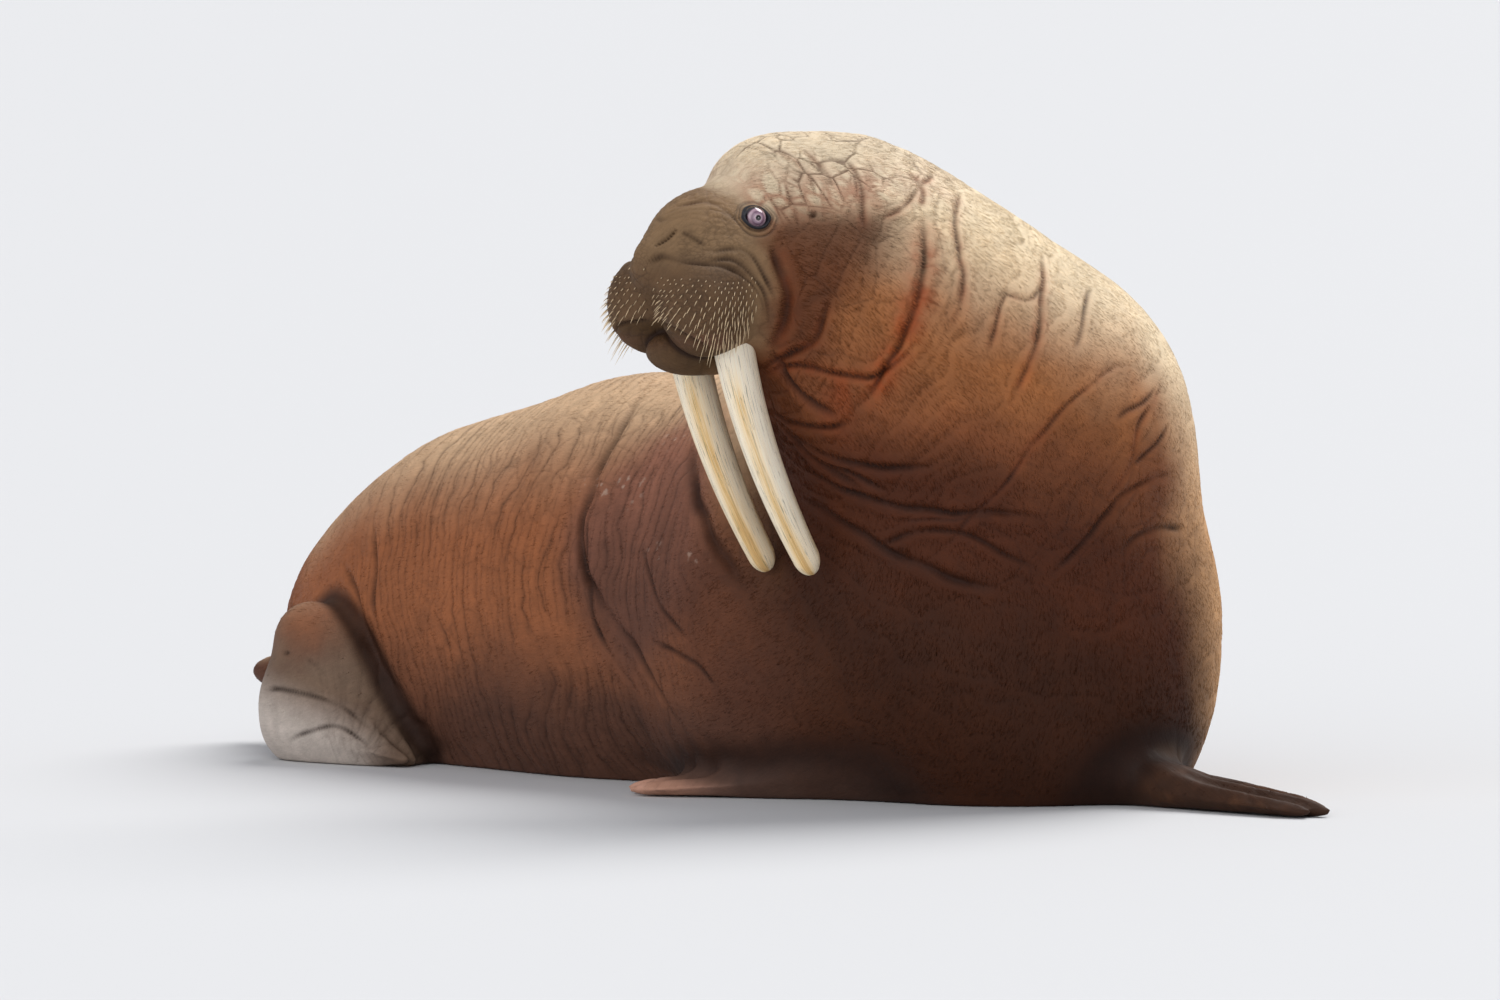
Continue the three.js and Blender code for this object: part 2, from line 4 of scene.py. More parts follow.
import bpy
import numpy as np
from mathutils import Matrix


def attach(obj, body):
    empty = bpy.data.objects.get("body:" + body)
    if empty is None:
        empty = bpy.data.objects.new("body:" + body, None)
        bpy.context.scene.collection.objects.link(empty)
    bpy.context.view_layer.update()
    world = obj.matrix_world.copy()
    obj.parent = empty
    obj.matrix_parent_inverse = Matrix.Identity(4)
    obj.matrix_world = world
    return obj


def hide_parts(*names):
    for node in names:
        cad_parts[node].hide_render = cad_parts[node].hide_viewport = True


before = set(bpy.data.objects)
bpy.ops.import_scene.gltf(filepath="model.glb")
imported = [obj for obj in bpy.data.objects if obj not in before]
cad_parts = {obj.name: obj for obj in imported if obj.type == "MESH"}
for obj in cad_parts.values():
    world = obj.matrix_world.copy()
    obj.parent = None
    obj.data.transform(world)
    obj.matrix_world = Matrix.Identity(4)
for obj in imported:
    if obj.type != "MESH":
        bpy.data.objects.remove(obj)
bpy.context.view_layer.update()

# Plan frame, in millimetres: +Z up, and its point PLAN_ORIGIN is the row's origin
PLAN_ORIGIN = np.array([30.0, 573.0, 0.0])
MILLIMETRE = 0.001

# Rounding where shapes of flesh run together
TRUNK_BLEND = 130.0
HEAD_BLEND = 35.0
NAPE_BLEND = 70.0
LIP_BLEND = 5.0
TAIL_BLEND = 30.0
FLIPPER_BLEND = 45.0
SHANK_BLEND = 24.0

# How deep the skin lies under the solids, and how far its flats lie above the floor
SKIN_DEPTH = 1.5
FLOOR_LIFT = 0.6

# Size of the skin's cells before they are halved, and how many lie along a block that is looked at as a whole
CELL = 9.0
BLOCK = 8
# How many points or blocks are worked on at a time
CHUNK, SPINE_CHUNK, FOLD_CHUNK, BLOCK_CHUNK = 400000, 60000, 40000, 1500
# How near the head and each eye the skin's edges are halved once more
HEAD_FINE, EYE_FINE = 320, (48, 36)
# How many steps a ray takes to the skin, and how much of the way left it takes in each
RAY_STEPS, RAY_SHARE = 60, 0.6
# How far the middle line of the body is felt
SPINE_REACH = 150.0

# Head frame: the origin lies midway between the eyes, x forward, y to the walrus's left, z up
HEAD_PLACE = np.array([-45.0, -140.0, 1054.0])
HEAD_YAW = 220.0
PAD_CENTER = (97, 64, -152)
PAD_RADII = (96, 77, 93)
PAD_SPLAY = 20
EYE_AT = (8, 0)
EYE_FACING = (0.34, 0.93, 0.08)
EYE_RADIUS = 22.0
EYE_DEPTH = 9.65
EYE_OPENING = 17.0
LID_HEIGHT = 7.0
EAR_AT = (-76, 6)
SIDES = (("left", 1), ("right", -1))

FORE = dict(
    length=520.0,
    reach=(1, 1, 0.93, 0.84, 0.72),
    half_width=(85, 78, 88, 102, 112),
    thickness=(150, 104, 68, 50, 28),
    height=(70, 46, 27, 20, 11),
)
HIND = dict(
    length=305.0,
    reach=(1, 0.93, 0.9, 0.93, 1),
    half_width=(52, 62, 80, 96, 104),
    thickness=(176, 132, 90, 60, 30),
    height=(90, 66, 45, 29, 14),
)
# Each flipper: its sizes, its root, its heading, its side and whether it is a hind one, which has a shank
FLIPPERS = {
    "flipper_fore_left": (FORE, (625, 50), -35, -1, False),
    "flipper_fore_right": (FORE, (285, 85), 163, 1, False),
    "flipper_hind_left": (HIND, (-640, 1420), -2, 1, True),
    "flipper_hind_right": (HIND, (-866, 928), -26, -1, True),
}
# The leg of a hind flipper: the half-lengths, the dip and the place of its shank, its heel and its instep
LEG = [
    ((185, 112, 112), 50, (102, 25, 142)),
    ((72, 72, 86), 0, (36, 6, 80)),
    ((125, 72, 50), 14, (150, 0, 48)),
]
LEG_BLEND = 75.0
FLESH_NODES = ["hindquarters", "torso", "chest", "neck", "tail", "head", "muzzle", "lower_jaw", *FLIPPERS]

# The line along the middle of the body, from tail to nose
SPINE = np.array([
    [-980, 1390, 150], [-845, 1290, 160], [-612, 1180, 220], [-430, 985, 290], [-150, 740, 340], [170, 440, 370],
    [370, 250, 440], [435, 120, 600], [400, 20, 760], [262, -20, 868], [110, -60, 980], [-45, -140, 1020],
    [-190, -262, 900],
], float)


# Vectors and numbers

def turn_matrix(heading, pitch=0.0):
    a, b = math.radians(heading), math.radians(-pitch)
    around = np.array([[math.cos(a), -math.sin(a), 0], [math.sin(a), math.cos(a), 0], [0, 0, 1]])
    tilt = np.array([[math.cos(b), 0, math.sin(b)], [0, 1, 0], [-math.sin(b), 0, math.cos(b)]])
    return around @ tilt


HEAD_TURN = turn_matrix(HEAD_YAW)


def in_head(p):
    return HEAD_PLACE + HEAD_TURN @ np.asarray(p, float)


def head_way(p):
    way = HEAD_TURN @ np.asarray(p, float)
    return way / np.linalg.norm(way)


def on_head(points):
    """Points of the plan frame in the head frame"""
    return (points - HEAD_PLACE) @ HEAD_TURN


def mirrored(p, s):
    """A point or a way of the head frame, on the left with s = 1 and on the right with s = -1"""
    return np.asarray(p, float) * (1, s, 1)


def unit(v):
    return v / np.maximum(np.linalg.norm(v, axis=-1, keepdims=True), 1e-9)


def smooth(low, high, x):
    t = np.clip((x - low) / (high - low), 0, 1)
    return t * t * (3 - 2 * t)


def mix(a, b, t):
    t = np.asarray(t, float)
    return a + (b - a) * (t[..., None] if np.ndim(a) or np.ndim(b) else t)


# Seeded noise over space

def hashed(cells, seed):
    """Numbers from 0 to 1, one for each whole-number cell"""
    c = cells.astype(np.int64)
    h = (c[..., 0] * 73856093) ^ (c[..., 1] * 19349663) ^ (c[..., 2] * 83492791) ^ (seed * 2654435761)
    h = (h ^ (h >> 13)) * 1274126177 & 0x7FFFFFFF
    h = (h ^ (h >> 15)) * 668265263 & 0x7FFFFFFF
    return ((h ^ (h >> 12)) & 0xFFFFFF) / 0xFFFFFF


def noise(points, size, seed, octaves=1):
    """Smooth noise from -1 to 1, with features of the given size in millimetres"""
    total, weight, sum_weight = 0.0, 1.0, 0.0
    for octave in range(octaves):
        p = points / (size * 0.5 ** octave) + 17.3 * octave
        base = np.floor(p)
        f = p - base
        f = f * f * (3 - 2 * f)
        value = 0.0
        for corner in range(8):
            bits = np.array([corner & 1, corner >> 1 & 1, corner >> 2])
            share = np.prod(np.where(bits, f, 1 - f), axis=-1)
            value = value + share * hashed(base + bits, seed + octave)
        total = total + weight * (2 * value - 1)
        sum_weight += weight
        weight *= 0.5
    return total / sum_weight


def noise_vector(points, size, seed):
    return np.stack([noise(points, size, seed + n) for n in range(3)], axis=1)


def cracked(points, size, seed):
    """How far each point lies from the borders of scattered cells, in cells: 0 on a border"""
    p = points / size
    base = np.floor(p)
    first = np.full(len(p), 9.0)
    second = np.full(len(p), 9.0)
    for i in (-1, 0, 1):
        for j in (-1, 0, 1):
            for k in (-1, 0, 1):
                cell = base + (i, j, k)
                middle = cell + np.stack([hashed(cell, seed + n) for n in (0, 11, 23)], axis=-1)
                d = np.linalg.norm(p - middle, axis=1)
                second = np.minimum(second, np.maximum(first, d))
                first = np.minimum(first, d)
    return second - first


# Flesh as fields: roughly the distance from the skin, below zero inside

def ellipsoid(center, radii, heading=0.0, pitch=0.0, head=False):
    turn = turn_matrix(heading, pitch)
    center = np.asarray(center, float)
    if head:
        turn, center = HEAD_TURN @ turn, in_head(center)
    radii = np.asarray(radii, float)

    def distance(p):
        local = (p - center) @ turn / radii
        near = np.sqrt((local ** 2).sum(axis=1))
        slope = np.sqrt(((local / radii) ** 2).sum(axis=1)) + 1e-9
        return near * (near - 1) / slope

    return distance


def blend(a, b, width):
    h = np.maximum(width - np.abs(a - b), 0) / width
    return np.minimum(a, b) - h * h * width / 4


def flesh(fields, width):
    def distance(p):
        total = fields[0](p)
        for field in fields[1:]:
            total = blend(total, field(p), width)
        return total

    return distance


# Each part has its middle and its radii, then its heading and its pitch where it is turned
trunk_field = flesh([ellipsoid(*part) for part in [
    ((-612, 1180, 200), (310, 230, 286), -32), ((-430, 985, 265), (410, 312, 381), -38),
    ((-150, 740, 300), (480, 374, 446), -40), ((190, 440, 350), (460, 408, 450), -48),
    ((55, 255, 250), (230, 205, 310), -45), ((452, 160, 380), (350, 372, 500), -70),
    ((585, 175, 230), (235, 250, 330), -70), ((443, 60, 684), (325, 342, 318), -70),
    ((262, -20, 868), (272, 272, 268)), ((150, -15, 962), (185, 178, 235)),
]], TRUNK_BLEND)
head_field = flesh([ellipsoid(*part, head=True) for part in [
    ((-112, 0, 18), (135, 116, 128)), ((56, 0, -44), (122, 88, 93), 0, -30),
    *[(mirrored(PAD_CENTER, s), PAD_RADII, s * PAD_SPLAY) for _, s in SIDES],
    ((146, 0, -85), (60, 46, 50)),
    *[((10, s * 70, -110), (110, 62, 115)) for _, s in SIDES],
    ((-60, 0, -150), (130, 100, 120)),
]], HEAD_BLEND)
jaw_field = flesh([ellipsoid(*part, head=True) for part in [
    ((105, 0, -234), (66, 50, 38)), ((20, 0, -236), (110, 38, 44)),
]], HEAD_BLEND)
tail_field = ellipsoid((-862, 1290, 138), (115, 52, 43), -28)


def flipper_field(sizes, root, heading, mirror, hind):
    """A paddle of five webbed digits, rounded at its rim, with a shank on a hind one"""
    turn = turn_matrix(heading)
    stations = np.linspace(0, 1, 5)
    reaches = np.array([sizes["reach"][0], *sizes["reach"], sizes["reach"][-1]])
    leg = flesh([ellipsoid(np.array([*root, 0]) + turn @ (x, -mirror * y, z), radii, heading, -dip)
                 for radii, dip, (x, y, z) in LEG], LEG_BLEND)

    def distance(p):
        local = (p - (root[0], root[1], 0)) @ turn
        x, y, z = local.T
        t = np.clip(x / sizes["length"], -0.2, 1.3)
        for _ in range(3):
            wide = np.interp(t, stations, sizes["half_width"])
            across = np.clip((1 - y / (mirror * wide)) / 2, 0, 1)
            between = 0.5 + 0.5 * np.cos(10 * math.pi * across)
            fanned = smooth(0.3, 0.75, t)
            reach = np.interp(across, np.linspace(0, 1, 7), reaches) * (1 - 0.05 * between * fanned)
            t = np.clip(x / (sizes["length"] * reach), -0.3, 1.4)
        half = np.interp(t, stations, sizes["thickness"]) / 2 * (1 - 0.42 * between * fanned)
        middle = np.interp(t, stations, sizes["height"])
        u = np.abs(y) / wide
        v = (z - middle) / half
        cap = sizes["length"] * 0.12
        w = np.maximum(x - sizes["length"] * reach + cap, 0) / cap + np.maximum(-x, 0) / 60
        near = np.sqrt(u ** 3 + v ** 2 + w ** 2)
        slope = 0.5 * np.sqrt((3 * u ** 2 / wide) ** 2 + (2 * v / half) ** 2 + (2 * w / cap) ** 2) + 1e-6
        paddle = near * (near - 1) / slope
        return blend(paddle, leg(p), FLIPPER_BLEND) if hind else paddle

    return distance


def near_box(field, low, high):
    """The same field where it matters, and far away outside the given box"""
    low, high = np.asarray(low, float), np.asarray(high, float)

    def distance(p):
        values = np.full(len(p), 1e4)
        near = ((p > low) & (p < high)).all(axis=1)
        if near.any():
            values[near] = field(p[near])
        return values

    return distance


HEAD_BOX = ((-480, -560, 640), (330, 280, 1320))
JAW_BOX = ((-420, -460, 700), (160, 120, 960))
limbs = []
for sizes, root, heading, mirror, hind in FLIPPERS.values():
    tip = np.array([*root, 0]) + turn_matrix(heading) @ (sizes["length"], 0, 0)
    corners = np.array([[*root, 0], tip])
    rim = 330 if hind else 230
    field = near_box(flipper_field(sizes, root, heading, mirror, hind),
                     corners.min(axis=0) - rim, corners.max(axis=0) + (rim, rim, 480))
    limbs.append((field, SHANK_BLEND if hind else FLIPPER_BLEND))
head_near = near_box(head_field, *HEAD_BOX)
jaw_near = near_box(jaw_field, *JAW_BOX)
tail_near = near_box(tail_field, (-1060, 1120, -40), (-680, 1460, 320))


def bare_field(p):
    """The whole body, with no floor"""
    d = trunk_field(p)
    d = blend(d, head_near(p), NAPE_BLEND)
    d = blend(d, jaw_near(p), LIP_BLEND)
    d = blend(d, tail_near(p), TAIL_BLEND)
    for limb, width in limbs:
        d = blend(d, limb(p), width)
    return d + SKIN_DEPTH


def body_field(p):
    return np.maximum(bare_field(p), FLOOR_LIFT - p[:, 2])


def slope_of(field, p, step=1.0):
    d = field(p)
    return d, np.stack([(field(p + step * np.eye(3)[axis]) - d) / step for axis in range(3)], axis=1)


def in_chunks(work, points, size=CHUNK):
    return np.concatenate([work(points[i:i + size]) for i in range(0, len(points), size)])


def surface_from(start, way):
    """Where rays from outside first meet the body"""
    p = np.array(start, float)
    for _ in range(RAY_STEPS):
        p += way * np.maximum(bare_field(p) * RAY_SHARE, 0.0)[:, None]
    return p


def on_side(s, x, z, away):
    """The skin on one side of the head, at x and z of the head frame"""
    return surface_from(in_head((x, s * away, z))[None], head_way((0, -s, 0))[None])[0]


# Meshes over fields

def skin_mesh(field, low, high, cell):
    """Points and triangles of a field's zero level, with a point in each cell that the level crosses"""
    counts = np.ceil((np.asarray(high, float) - low) / (cell * BLOCK)).astype(int)
    low = np.asarray(low, float)
    middles = low + (np.indices(counts).reshape(3, -1).T + 0.5) * cell * BLOCK
    level = in_chunks(field, middles).reshape(counts)
    values = (np.sign(level) * cell).astype(np.float32)
    for axis in range(3):
        values = np.repeat(values, BLOCK, axis=axis)
    live = np.argwhere(np.abs(level) < cell * BLOCK * 1.25)
    offsets = np.indices((BLOCK,) * 3).reshape(3, -1).T
    for i in range(0, len(live), BLOCK_CHUNK):
        index = (live[i:i + BLOCK_CHUNK, None] * BLOCK + offsets).reshape(-1, 3)
        values[tuple(index.T)] = field(low + index * cell)
    inside = values < 0
    corners = [tuple(slice(b, inside.shape[n] - 1 + b) for n, b in enumerate(bits))
               for bits in np.indices((2, 2, 2)).reshape(3, -1).T]
    some = np.logical_or.reduce([inside[c] for c in corners])
    every = np.logical_and.reduce([inside[c] for c in corners])
    cells = np.argwhere(some & ~every)
    owner = np.full(inside.shape, -1, np.int32)
    owner[tuple(cells.T)] = np.arange(len(cells))
    total = np.zeros((len(cells), 3))
    hits = np.zeros(len(cells))
    for edge in range(12):
        axis = edge % 3
        start = cells.copy()
        start[:, (axis + 1) % 3] += edge // 3 % 2
        start[:, (axis + 2) % 3] += edge // 6
        end = start.copy()
        end[:, axis] += 1
        a, b = values[tuple(start.T)], values[tuple(end.T)]
        cross = (a < 0) != (b < 0)
        place = start.astype(float)
        place[:, axis] += np.where(cross, a / np.where(cross, a - b, 1), 0)
        total[cross] += place[cross]
        hits += cross
    points = low + total / hits[:, None] * cell
    quads = []
    for axis in range(3):
        ahead = [slice(1, None)] * 3
        ahead[axis] = slice(1, -1)
        beyond = list(ahead)
        beyond[axis] = slice(2, None)
        here, there = inside[tuple(ahead)], inside[tuple(beyond)]
        edges = np.argwhere(here != there) + 1
        out = here[tuple((edges - 1).T)]
        b, c = np.eye(3, dtype=int)[(axis + 1) % 3], np.eye(3, dtype=int)[(axis + 2) % 3]
        ring = np.stack([owner[tuple((edges - m * b - n * c).T)] for m, n in ((0, 0), (1, 0), (1, 1), (0, 1))], axis=1)
        quads.append(np.where(out[:, None], ring, ring[:, ::-1]))
    quads = np.concatenate(quads)
    short = np.linalg.norm(points[quads[:, 0]] - points[quads[:, 2]], axis=1) < np.linalg.norm(
        points[quads[:, 1]] - points[quads[:, 3]], axis=1)
    a, b, c, d = quads.T
    triangles = np.concatenate([
        np.where(short[:, None], np.stack([a, b, c], 1), np.stack([a, b, d], 1)),
        np.where(short[:, None], np.stack([a, c, d], 1), np.stack([b, c, d], 1)),
    ])
    return points, triangles


def settled(field, points, reach, turns=2):
    """Points moved onto a field's zero level"""
    def work(p):
        p = p.copy()
        for _ in range(turns):
            d, slope = slope_of(field, p, 0.5)
            step = d[:, None] * slope / np.maximum((slope ** 2).sum(axis=1), 0.25)[:, None]
            p -= np.clip(step, -reach, reach)
        return p

    return in_chunks(work, points)


# How a triangle is divided: the code of its halved edges (1, 2 and 4 for the first, second and third), and the new
# triangles, with 0 to 2 for its corners and 3 to 5 for the middles of its edges
SPLITS = [
    (0, (0, 1, 2)),
    (1, (0, 3, 2), (3, 1, 2)), (6, (0, 1, 4), (0, 4, 5), (5, 4, 2)),
    (2, (1, 4, 0), (4, 2, 0)), (5, (1, 2, 5), (1, 5, 3), (3, 5, 0)),
    (4, (2, 5, 1), (5, 0, 1)), (3, (2, 0, 3), (2, 3, 4), (4, 3, 1)),
    (7, (0, 3, 5), (3, 1, 4), (5, 4, 2), (3, 4, 5)),
]


def refined(points, triangles, wanted):
    """Halves each edge whose two ends are wanted, with no crack between halved and whole triangles"""
    pairs = np.sort(triangles[:, [[0, 1], [1, 2], [2, 0]]].reshape(-1, 2), axis=1)
    keys, first, inverse = np.unique(pairs[:, 0] * len(points) + pairs[:, 1], return_index=True, return_inverse=True)
    ends = pairs[first]
    split = wanted[ends].all(axis=1)
    middle = np.full(len(keys), -1)
    middle[split] = len(points) + np.arange(split.sum())
    fresh = points[ends[split]].mean(axis=1)
    mid = middle[inverse].reshape(-1, 3)
    code = (mid >= 0) @ np.array([1, 2, 4])
    six = np.concatenate([triangles, mid], axis=1)
    parts = [six[code == split_edges][:, list(three)] for split_edges, *threes in SPLITS for three in threes]
    return np.concatenate([points, fresh]), np.concatenate(parts)


def placed(name, data):
    obj = bpy.data.objects.new(name, data)
    bpy.context.scene.collection.objects.link(obj)
    return obj


def make_mesh(name, points, triangles):
    """A smooth-shaded mesh object in the row frame from plan points"""
    mesh = bpy.data.meshes.new(name)
    points = (points - PLAN_ORIGIN) * MILLIMETRE
    mesh.vertices.add(len(points))
    mesh.vertices.foreach_set("co", points.astype(np.float32).ravel())
    mesh.loops.add(triangles.size)
    mesh.loops.foreach_set("vertex_index", triangles.astype(np.int32).ravel())
    mesh.polygons.add(len(triangles))
    mesh.polygons.foreach_set("loop_start", np.arange(0, triangles.size, 3, dtype=np.int32))
    mesh.polygons.foreach_set("use_smooth", np.ones(len(triangles), bool))
    mesh.update(calc_edges=True)
    mesh.validate()
    return placed(name, mesh)


def give(obj, name, values, kind="FLOAT", key="value"):
    """Writes values to a mesh's points: numbers, vectors or colours, by kind and key"""
    values = np.asarray(values, np.float32)
    obj.data.attributes.new(name, kind, "POINT").data.foreach_set(key, values.ravel())


def give_vector(obj, name, vectors):
    give(obj, name, vectors, "FLOAT_VECTOR", "vector")


def give_color(obj, name, colors):
    give(obj, name, np.column_stack([colors, np.ones(len(colors))]), "FLOAT_COLOR", "color")


# Where a point lies along and around the body

def smooth_line(points, spacing):
    """A polyline eased through its points, at an even spacing"""
    p = np.vstack([2 * points[0] - points[1], points, 2 * points[-1] - points[-2]])
    line = []
    for i in range(1, len(p) - 2):
        t = np.linspace(0, 1, 12, endpoint=False)[:, None]
        line.append(0.5 * (2 * p[i] + (p[i + 1] - p[i - 1]) * t
                           + (2 * p[i - 1] - 5 * p[i] + 4 * p[i + 1] - p[i + 2]) * t ** 2
                           + (3 * p[i] - p[i - 1] - 3 * p[i + 1] + p[i + 2]) * t ** 3))
    line = np.vstack([*line, p[-2]])
    along = np.concatenate([[0], np.cumsum(np.linalg.norm(np.diff(line, axis=0), axis=1))])
    even = np.linspace(0, along[-1], max(int(along[-1] / spacing), 2) + 1)
    return np.stack([np.interp(even, along, line[:, n]) for n in range(3)], axis=1), even


spine_line, spine_along = smooth_line(SPINE, 40)
spine_ways = unit(np.gradient(spine_line, axis=0))


def body_place(points):
    """The way along the body and the angle around it, 0 at the back, for each point"""
    def work(p):
        squares = ((p[:, None] - spine_line) ** 2).sum(axis=2)
        weight = np.exp(-(squares - squares.min(axis=1, keepdims=True)) / SPINE_REACH ** 2)
        weight /= weight.sum(axis=1, keepdims=True)
        middle, way = weight @ spine_line, unit(weight @ spine_ways)
        along = weight @ spine_along + ((p - middle) * way).sum(axis=1) * 0.35
        up = unit(np.array([0, 0, 1.0]) - way * way[:, 2:])
        side = np.cross(up, way)
        out = p - middle
        return np.stack([along, np.arctan2((out * side).sum(axis=1), (out * up).sum(axis=1))], axis=1)

    return in_chunks(work, points, SPINE_CHUNK).T


def far_from(points, middle):
    return np.linalg.norm(points - np.asarray(middle, float), axis=1)


# Folds traced over the body, each with its depth, its width, how much rust lies in it, and its path
FOLDS = [
    (3, 4, 0.5, [(168, -136, 1160), (196, -197, 1097), (200, -244, 1030)]),
    (7, 5, 1.0, [(305, -201, 1073), (307, -263, 981), (289, -288, 908), (270, -294, 859), (235, -283, 783),
         (186, -243, 708)]),
    (4, 4, 0.6, [(372, -114, 1101), (360, -188, 1058), (369, -239, 989), (376, -256, 951), (363, -280, 887),
         (328, -290, 863)]),
    (5, 4, 0.7, [(522, -106, 991), (516, -182, 929), (510, -229, 852), (487, -257, 788), (448, -272, 720)]),
    (3, 3.5, 0.5, [(458, -223, 931), (438, -251, 891), (419, -274, 818)]),
    (3, 4, 0.3, [(608, -82, 929), (588, -169, 869), (573, -210, 816)]),
    (4, 3.5, 0.5, [(669, -147, 799), (612, -206, 766), (547, -247, 710), (497, -260, 661), (467, -259, 612),
         (427, -249, 562), (389, -236, 526), (364, -223, 497), (330, -200, 450)]),
    (7, 5, 0.5, [(752, -74, 597), (673, -162, 573), (637, -179, 534), (598, -189, 490), (552, -195, 441),
         (519, -196, 406)]),
    (5, 5, 0.1, [(780, -9, 499), (726, -90, 498), (684, -130, 486), (658, -141, 446)]),
    (4, 4.5, 0.3, [(746, -87, 683), (704, -143, 636), (673, -170, 613)]),
    (3, 4, 0.3, [(720, -108, 753), (699, -143, 726), (647, -195, 693)]),
    (7, 6, 0.1, [(53, -103, 689), (103, -116, 635), (201, -173, 569)]),
    (2, 3, 0.2, [(153, -99, 524), (300, -210, 521), (440, -239, 527), (592, -203, 526)]),
    # Across the throat, fanning out from under the jaw
    (6, 5, 0.4, [(16, -172, 786), (56, -212, 807), (112, -253, 845), (144, -267, 925)]),
    (6, 4.5, 0.6, [(19, -164, 777), (79, -219, 795), (151, -255, 777), (216, -277, 774), (254, -289, 798),
         (294, -294, 847)]),
    (9, 7, 0.2, [(35, -213, 821), (71, -192, 758), (158, -222, 698)]),
    (6, 5, 0.2, [(32, -89, 709), (80, -143, 687), (136, -196, 683), (185, -234, 692)]),
    (7, 5.5, 0.1, [(36, -81, 700), (80, -114, 663), (152, -168, 625), (233, -217, 612), (336, -255, 621)]),
    (7, 5, 0.1, [(48, -84, 684), (105, -115, 631), (168, -165, 600), (249, -205, 570)]),
    (6, 5, 0.1, [(89, -61, 610), (152, -131, 575), (217, -177, 553), (296, -215, 539), (415, -241, 532),
         (537, -224, 524)]),
    (8, 6.5, 0.1, [(98, -27, 544), (153, -96, 516), (218, -148, 479), (297, -185, 440), (377, -201, 410),
         (457, -202, 394)]),
    (5, 4.5, 0.1, [(218, -146, 472), (296, -202, 498), (377, -226, 499), (456, -219, 460), (520, -200, 425)]),
    (4, 4, 0.5, [(734, -85, 757), (691, -157, 688), (675, -170, 618), (626, -190, 547)]),
    # Between the hind limb, the torso, the shoulder and the chest
    (7, 5, 0.1, [(-713, 904, 452), (-707, 848, 384), (-710, 831, 323), (-706, 820, 260)]),
    (7, 6, 0.1, [(-772, 948, 370), (-744, 878, 312), (-728, 849, 250), (-702, 824, 198), (-662, 795, 138)]),
    (12, 9, 0.1, [(-858, 1092, 279), (-811, 983, 258), (-758, 898, 203), (-727, 871, 151), (-667, 841, 102),
         (-580, 759, 68)]),
    (10, 7, 0.1, [(-186, 635, 722), (-240, 513, 645), (-306, 430, 484), (-292, 378, 359), (-199, 246, 241),
         (-108, 151, 104)]),
    (12, 10, 0.1, [(-113, 329, 635), (-96, 177, 535), (-45, 75, 433), (9, 26, 364)]),
    (5, 4.5, 0.1, [(-200, 283, 165), (-274, 360, 269), (-302, 396, 412), (-275, 445, 556)]),
    (4, 4, 0.1, [(-108, 100, 287), (-172, 191, 353), (-200, 289, 456)]),
    (4, 4, 0.1, [(-54, 65, 200), (-108, 102, 251), (-181, 202, 280)]),
    # Over the nape and the upper neck
    (3, 3.5, 0.7, [(274, -137, 1137), (309, -167, 1102), (305, -201, 1073)]),
    (3, 3.5, 0.7, [(229, -233, 1051), (273, -208, 1076), (310, -142, 1119), (325, -94, 1136)]),
    (3, 3.5, 0.5, [(440, -236, 927), (493, -212, 909), (520, -167, 943)]),
]
# The same on the head, in its own frame: behind the pad, over the pad and down from the crown
HEAD_FOLDS = [
    (8, 7, 0.4, [(-1, 123, -39), (-22, 154, -144), (-14, 108, -233)]),
    (4, 4, 0.1, [(138, 99, -75), (76, 120, -69), (26, 134, -117), (-3, 126, -197)]),
    (3, 3, 0.1, [(150, 88, -92), (84, 122, -84), (38, 136, -122), (12, 132, -180)]),
    *[(6, 5, 0.1, [(204, s * 13, -79), (177, s * 41, -64), (154, s * 71, -72), (127, s * 107, -75),
         (76, s * 127, -86), (39, s * 133, -108)]) for _, s in SIDES],
    *[(3.5, 4, 0.1, [(135, s * 48, -24), (120, s * 62, -34), (108, s * 84, -48)]) for _, s in SIDES],
    (3, 4, 0.1, [(123, 3, 23), (90, 40, 32), (60, 73, 14), (41, 105, -17)]),
    (3, 4, 0.1, [(140, -30, 6), (148, 0, 0), (140, 26, 8), (118, 50, 8)]),
    (3, 4, 0.1, [(116, 94, -55), (44, 123, -59), (-4, 142, -144)]),
    (2.5, 3, 0.1, [(-3, -8, 93), (-35, 18, 121), (-62, 52, 123)]),
    (2.5, 3, 0.6, [(-63, 50, 125), (-86, 111, 85), (-85, 144, 38)]),
    (2.5, 3, 0.6, [(-112, 74, 128), (-118, 121, 94), (-113, 160, 48)]),
    (2.5, 3, 0.5, [(-46, 73, 97), (-57, 101, 73), (-55, 123, 26), (-49, 143, -23)]),
]
# Creases over the near hind limb, as x and z
HIND_CREASES = [
    [(-926, 124), (-882, 141), (-816, 128), (-749, 99), (-702, 67)],
    [(-914, 194), (-873, 207), (-825, 192), (-782, 162)],
    [(-873, 33), (-816, 67), (-759, 67), (-702, 37)],
]
NOSTRIL = [(150, 40, -8), (166, 34, -30), (178, 22, -52)]
# The line of the mouth on each pad, as angles about its middle: sideways, then up
MOUTH = [(-50, -20), (-25, -20), (0, -22), (18, -28), (42, -44), (76, -62)]


def on_pad(s, yaw, pitch):
    """The skin of one pad, at angles about its middle"""
    yaw, pitch = np.radians(yaw), np.radians(pitch)
    ray = np.stack([np.cos(pitch) * np.cos(yaw), s * np.cos(pitch) * np.sin(yaw), np.sin(pitch)], 1) @ HEAD_TURN.T
    return surface_from(in_head(mirrored(PAD_CENTER, s)) + 160 * ray, -ray)


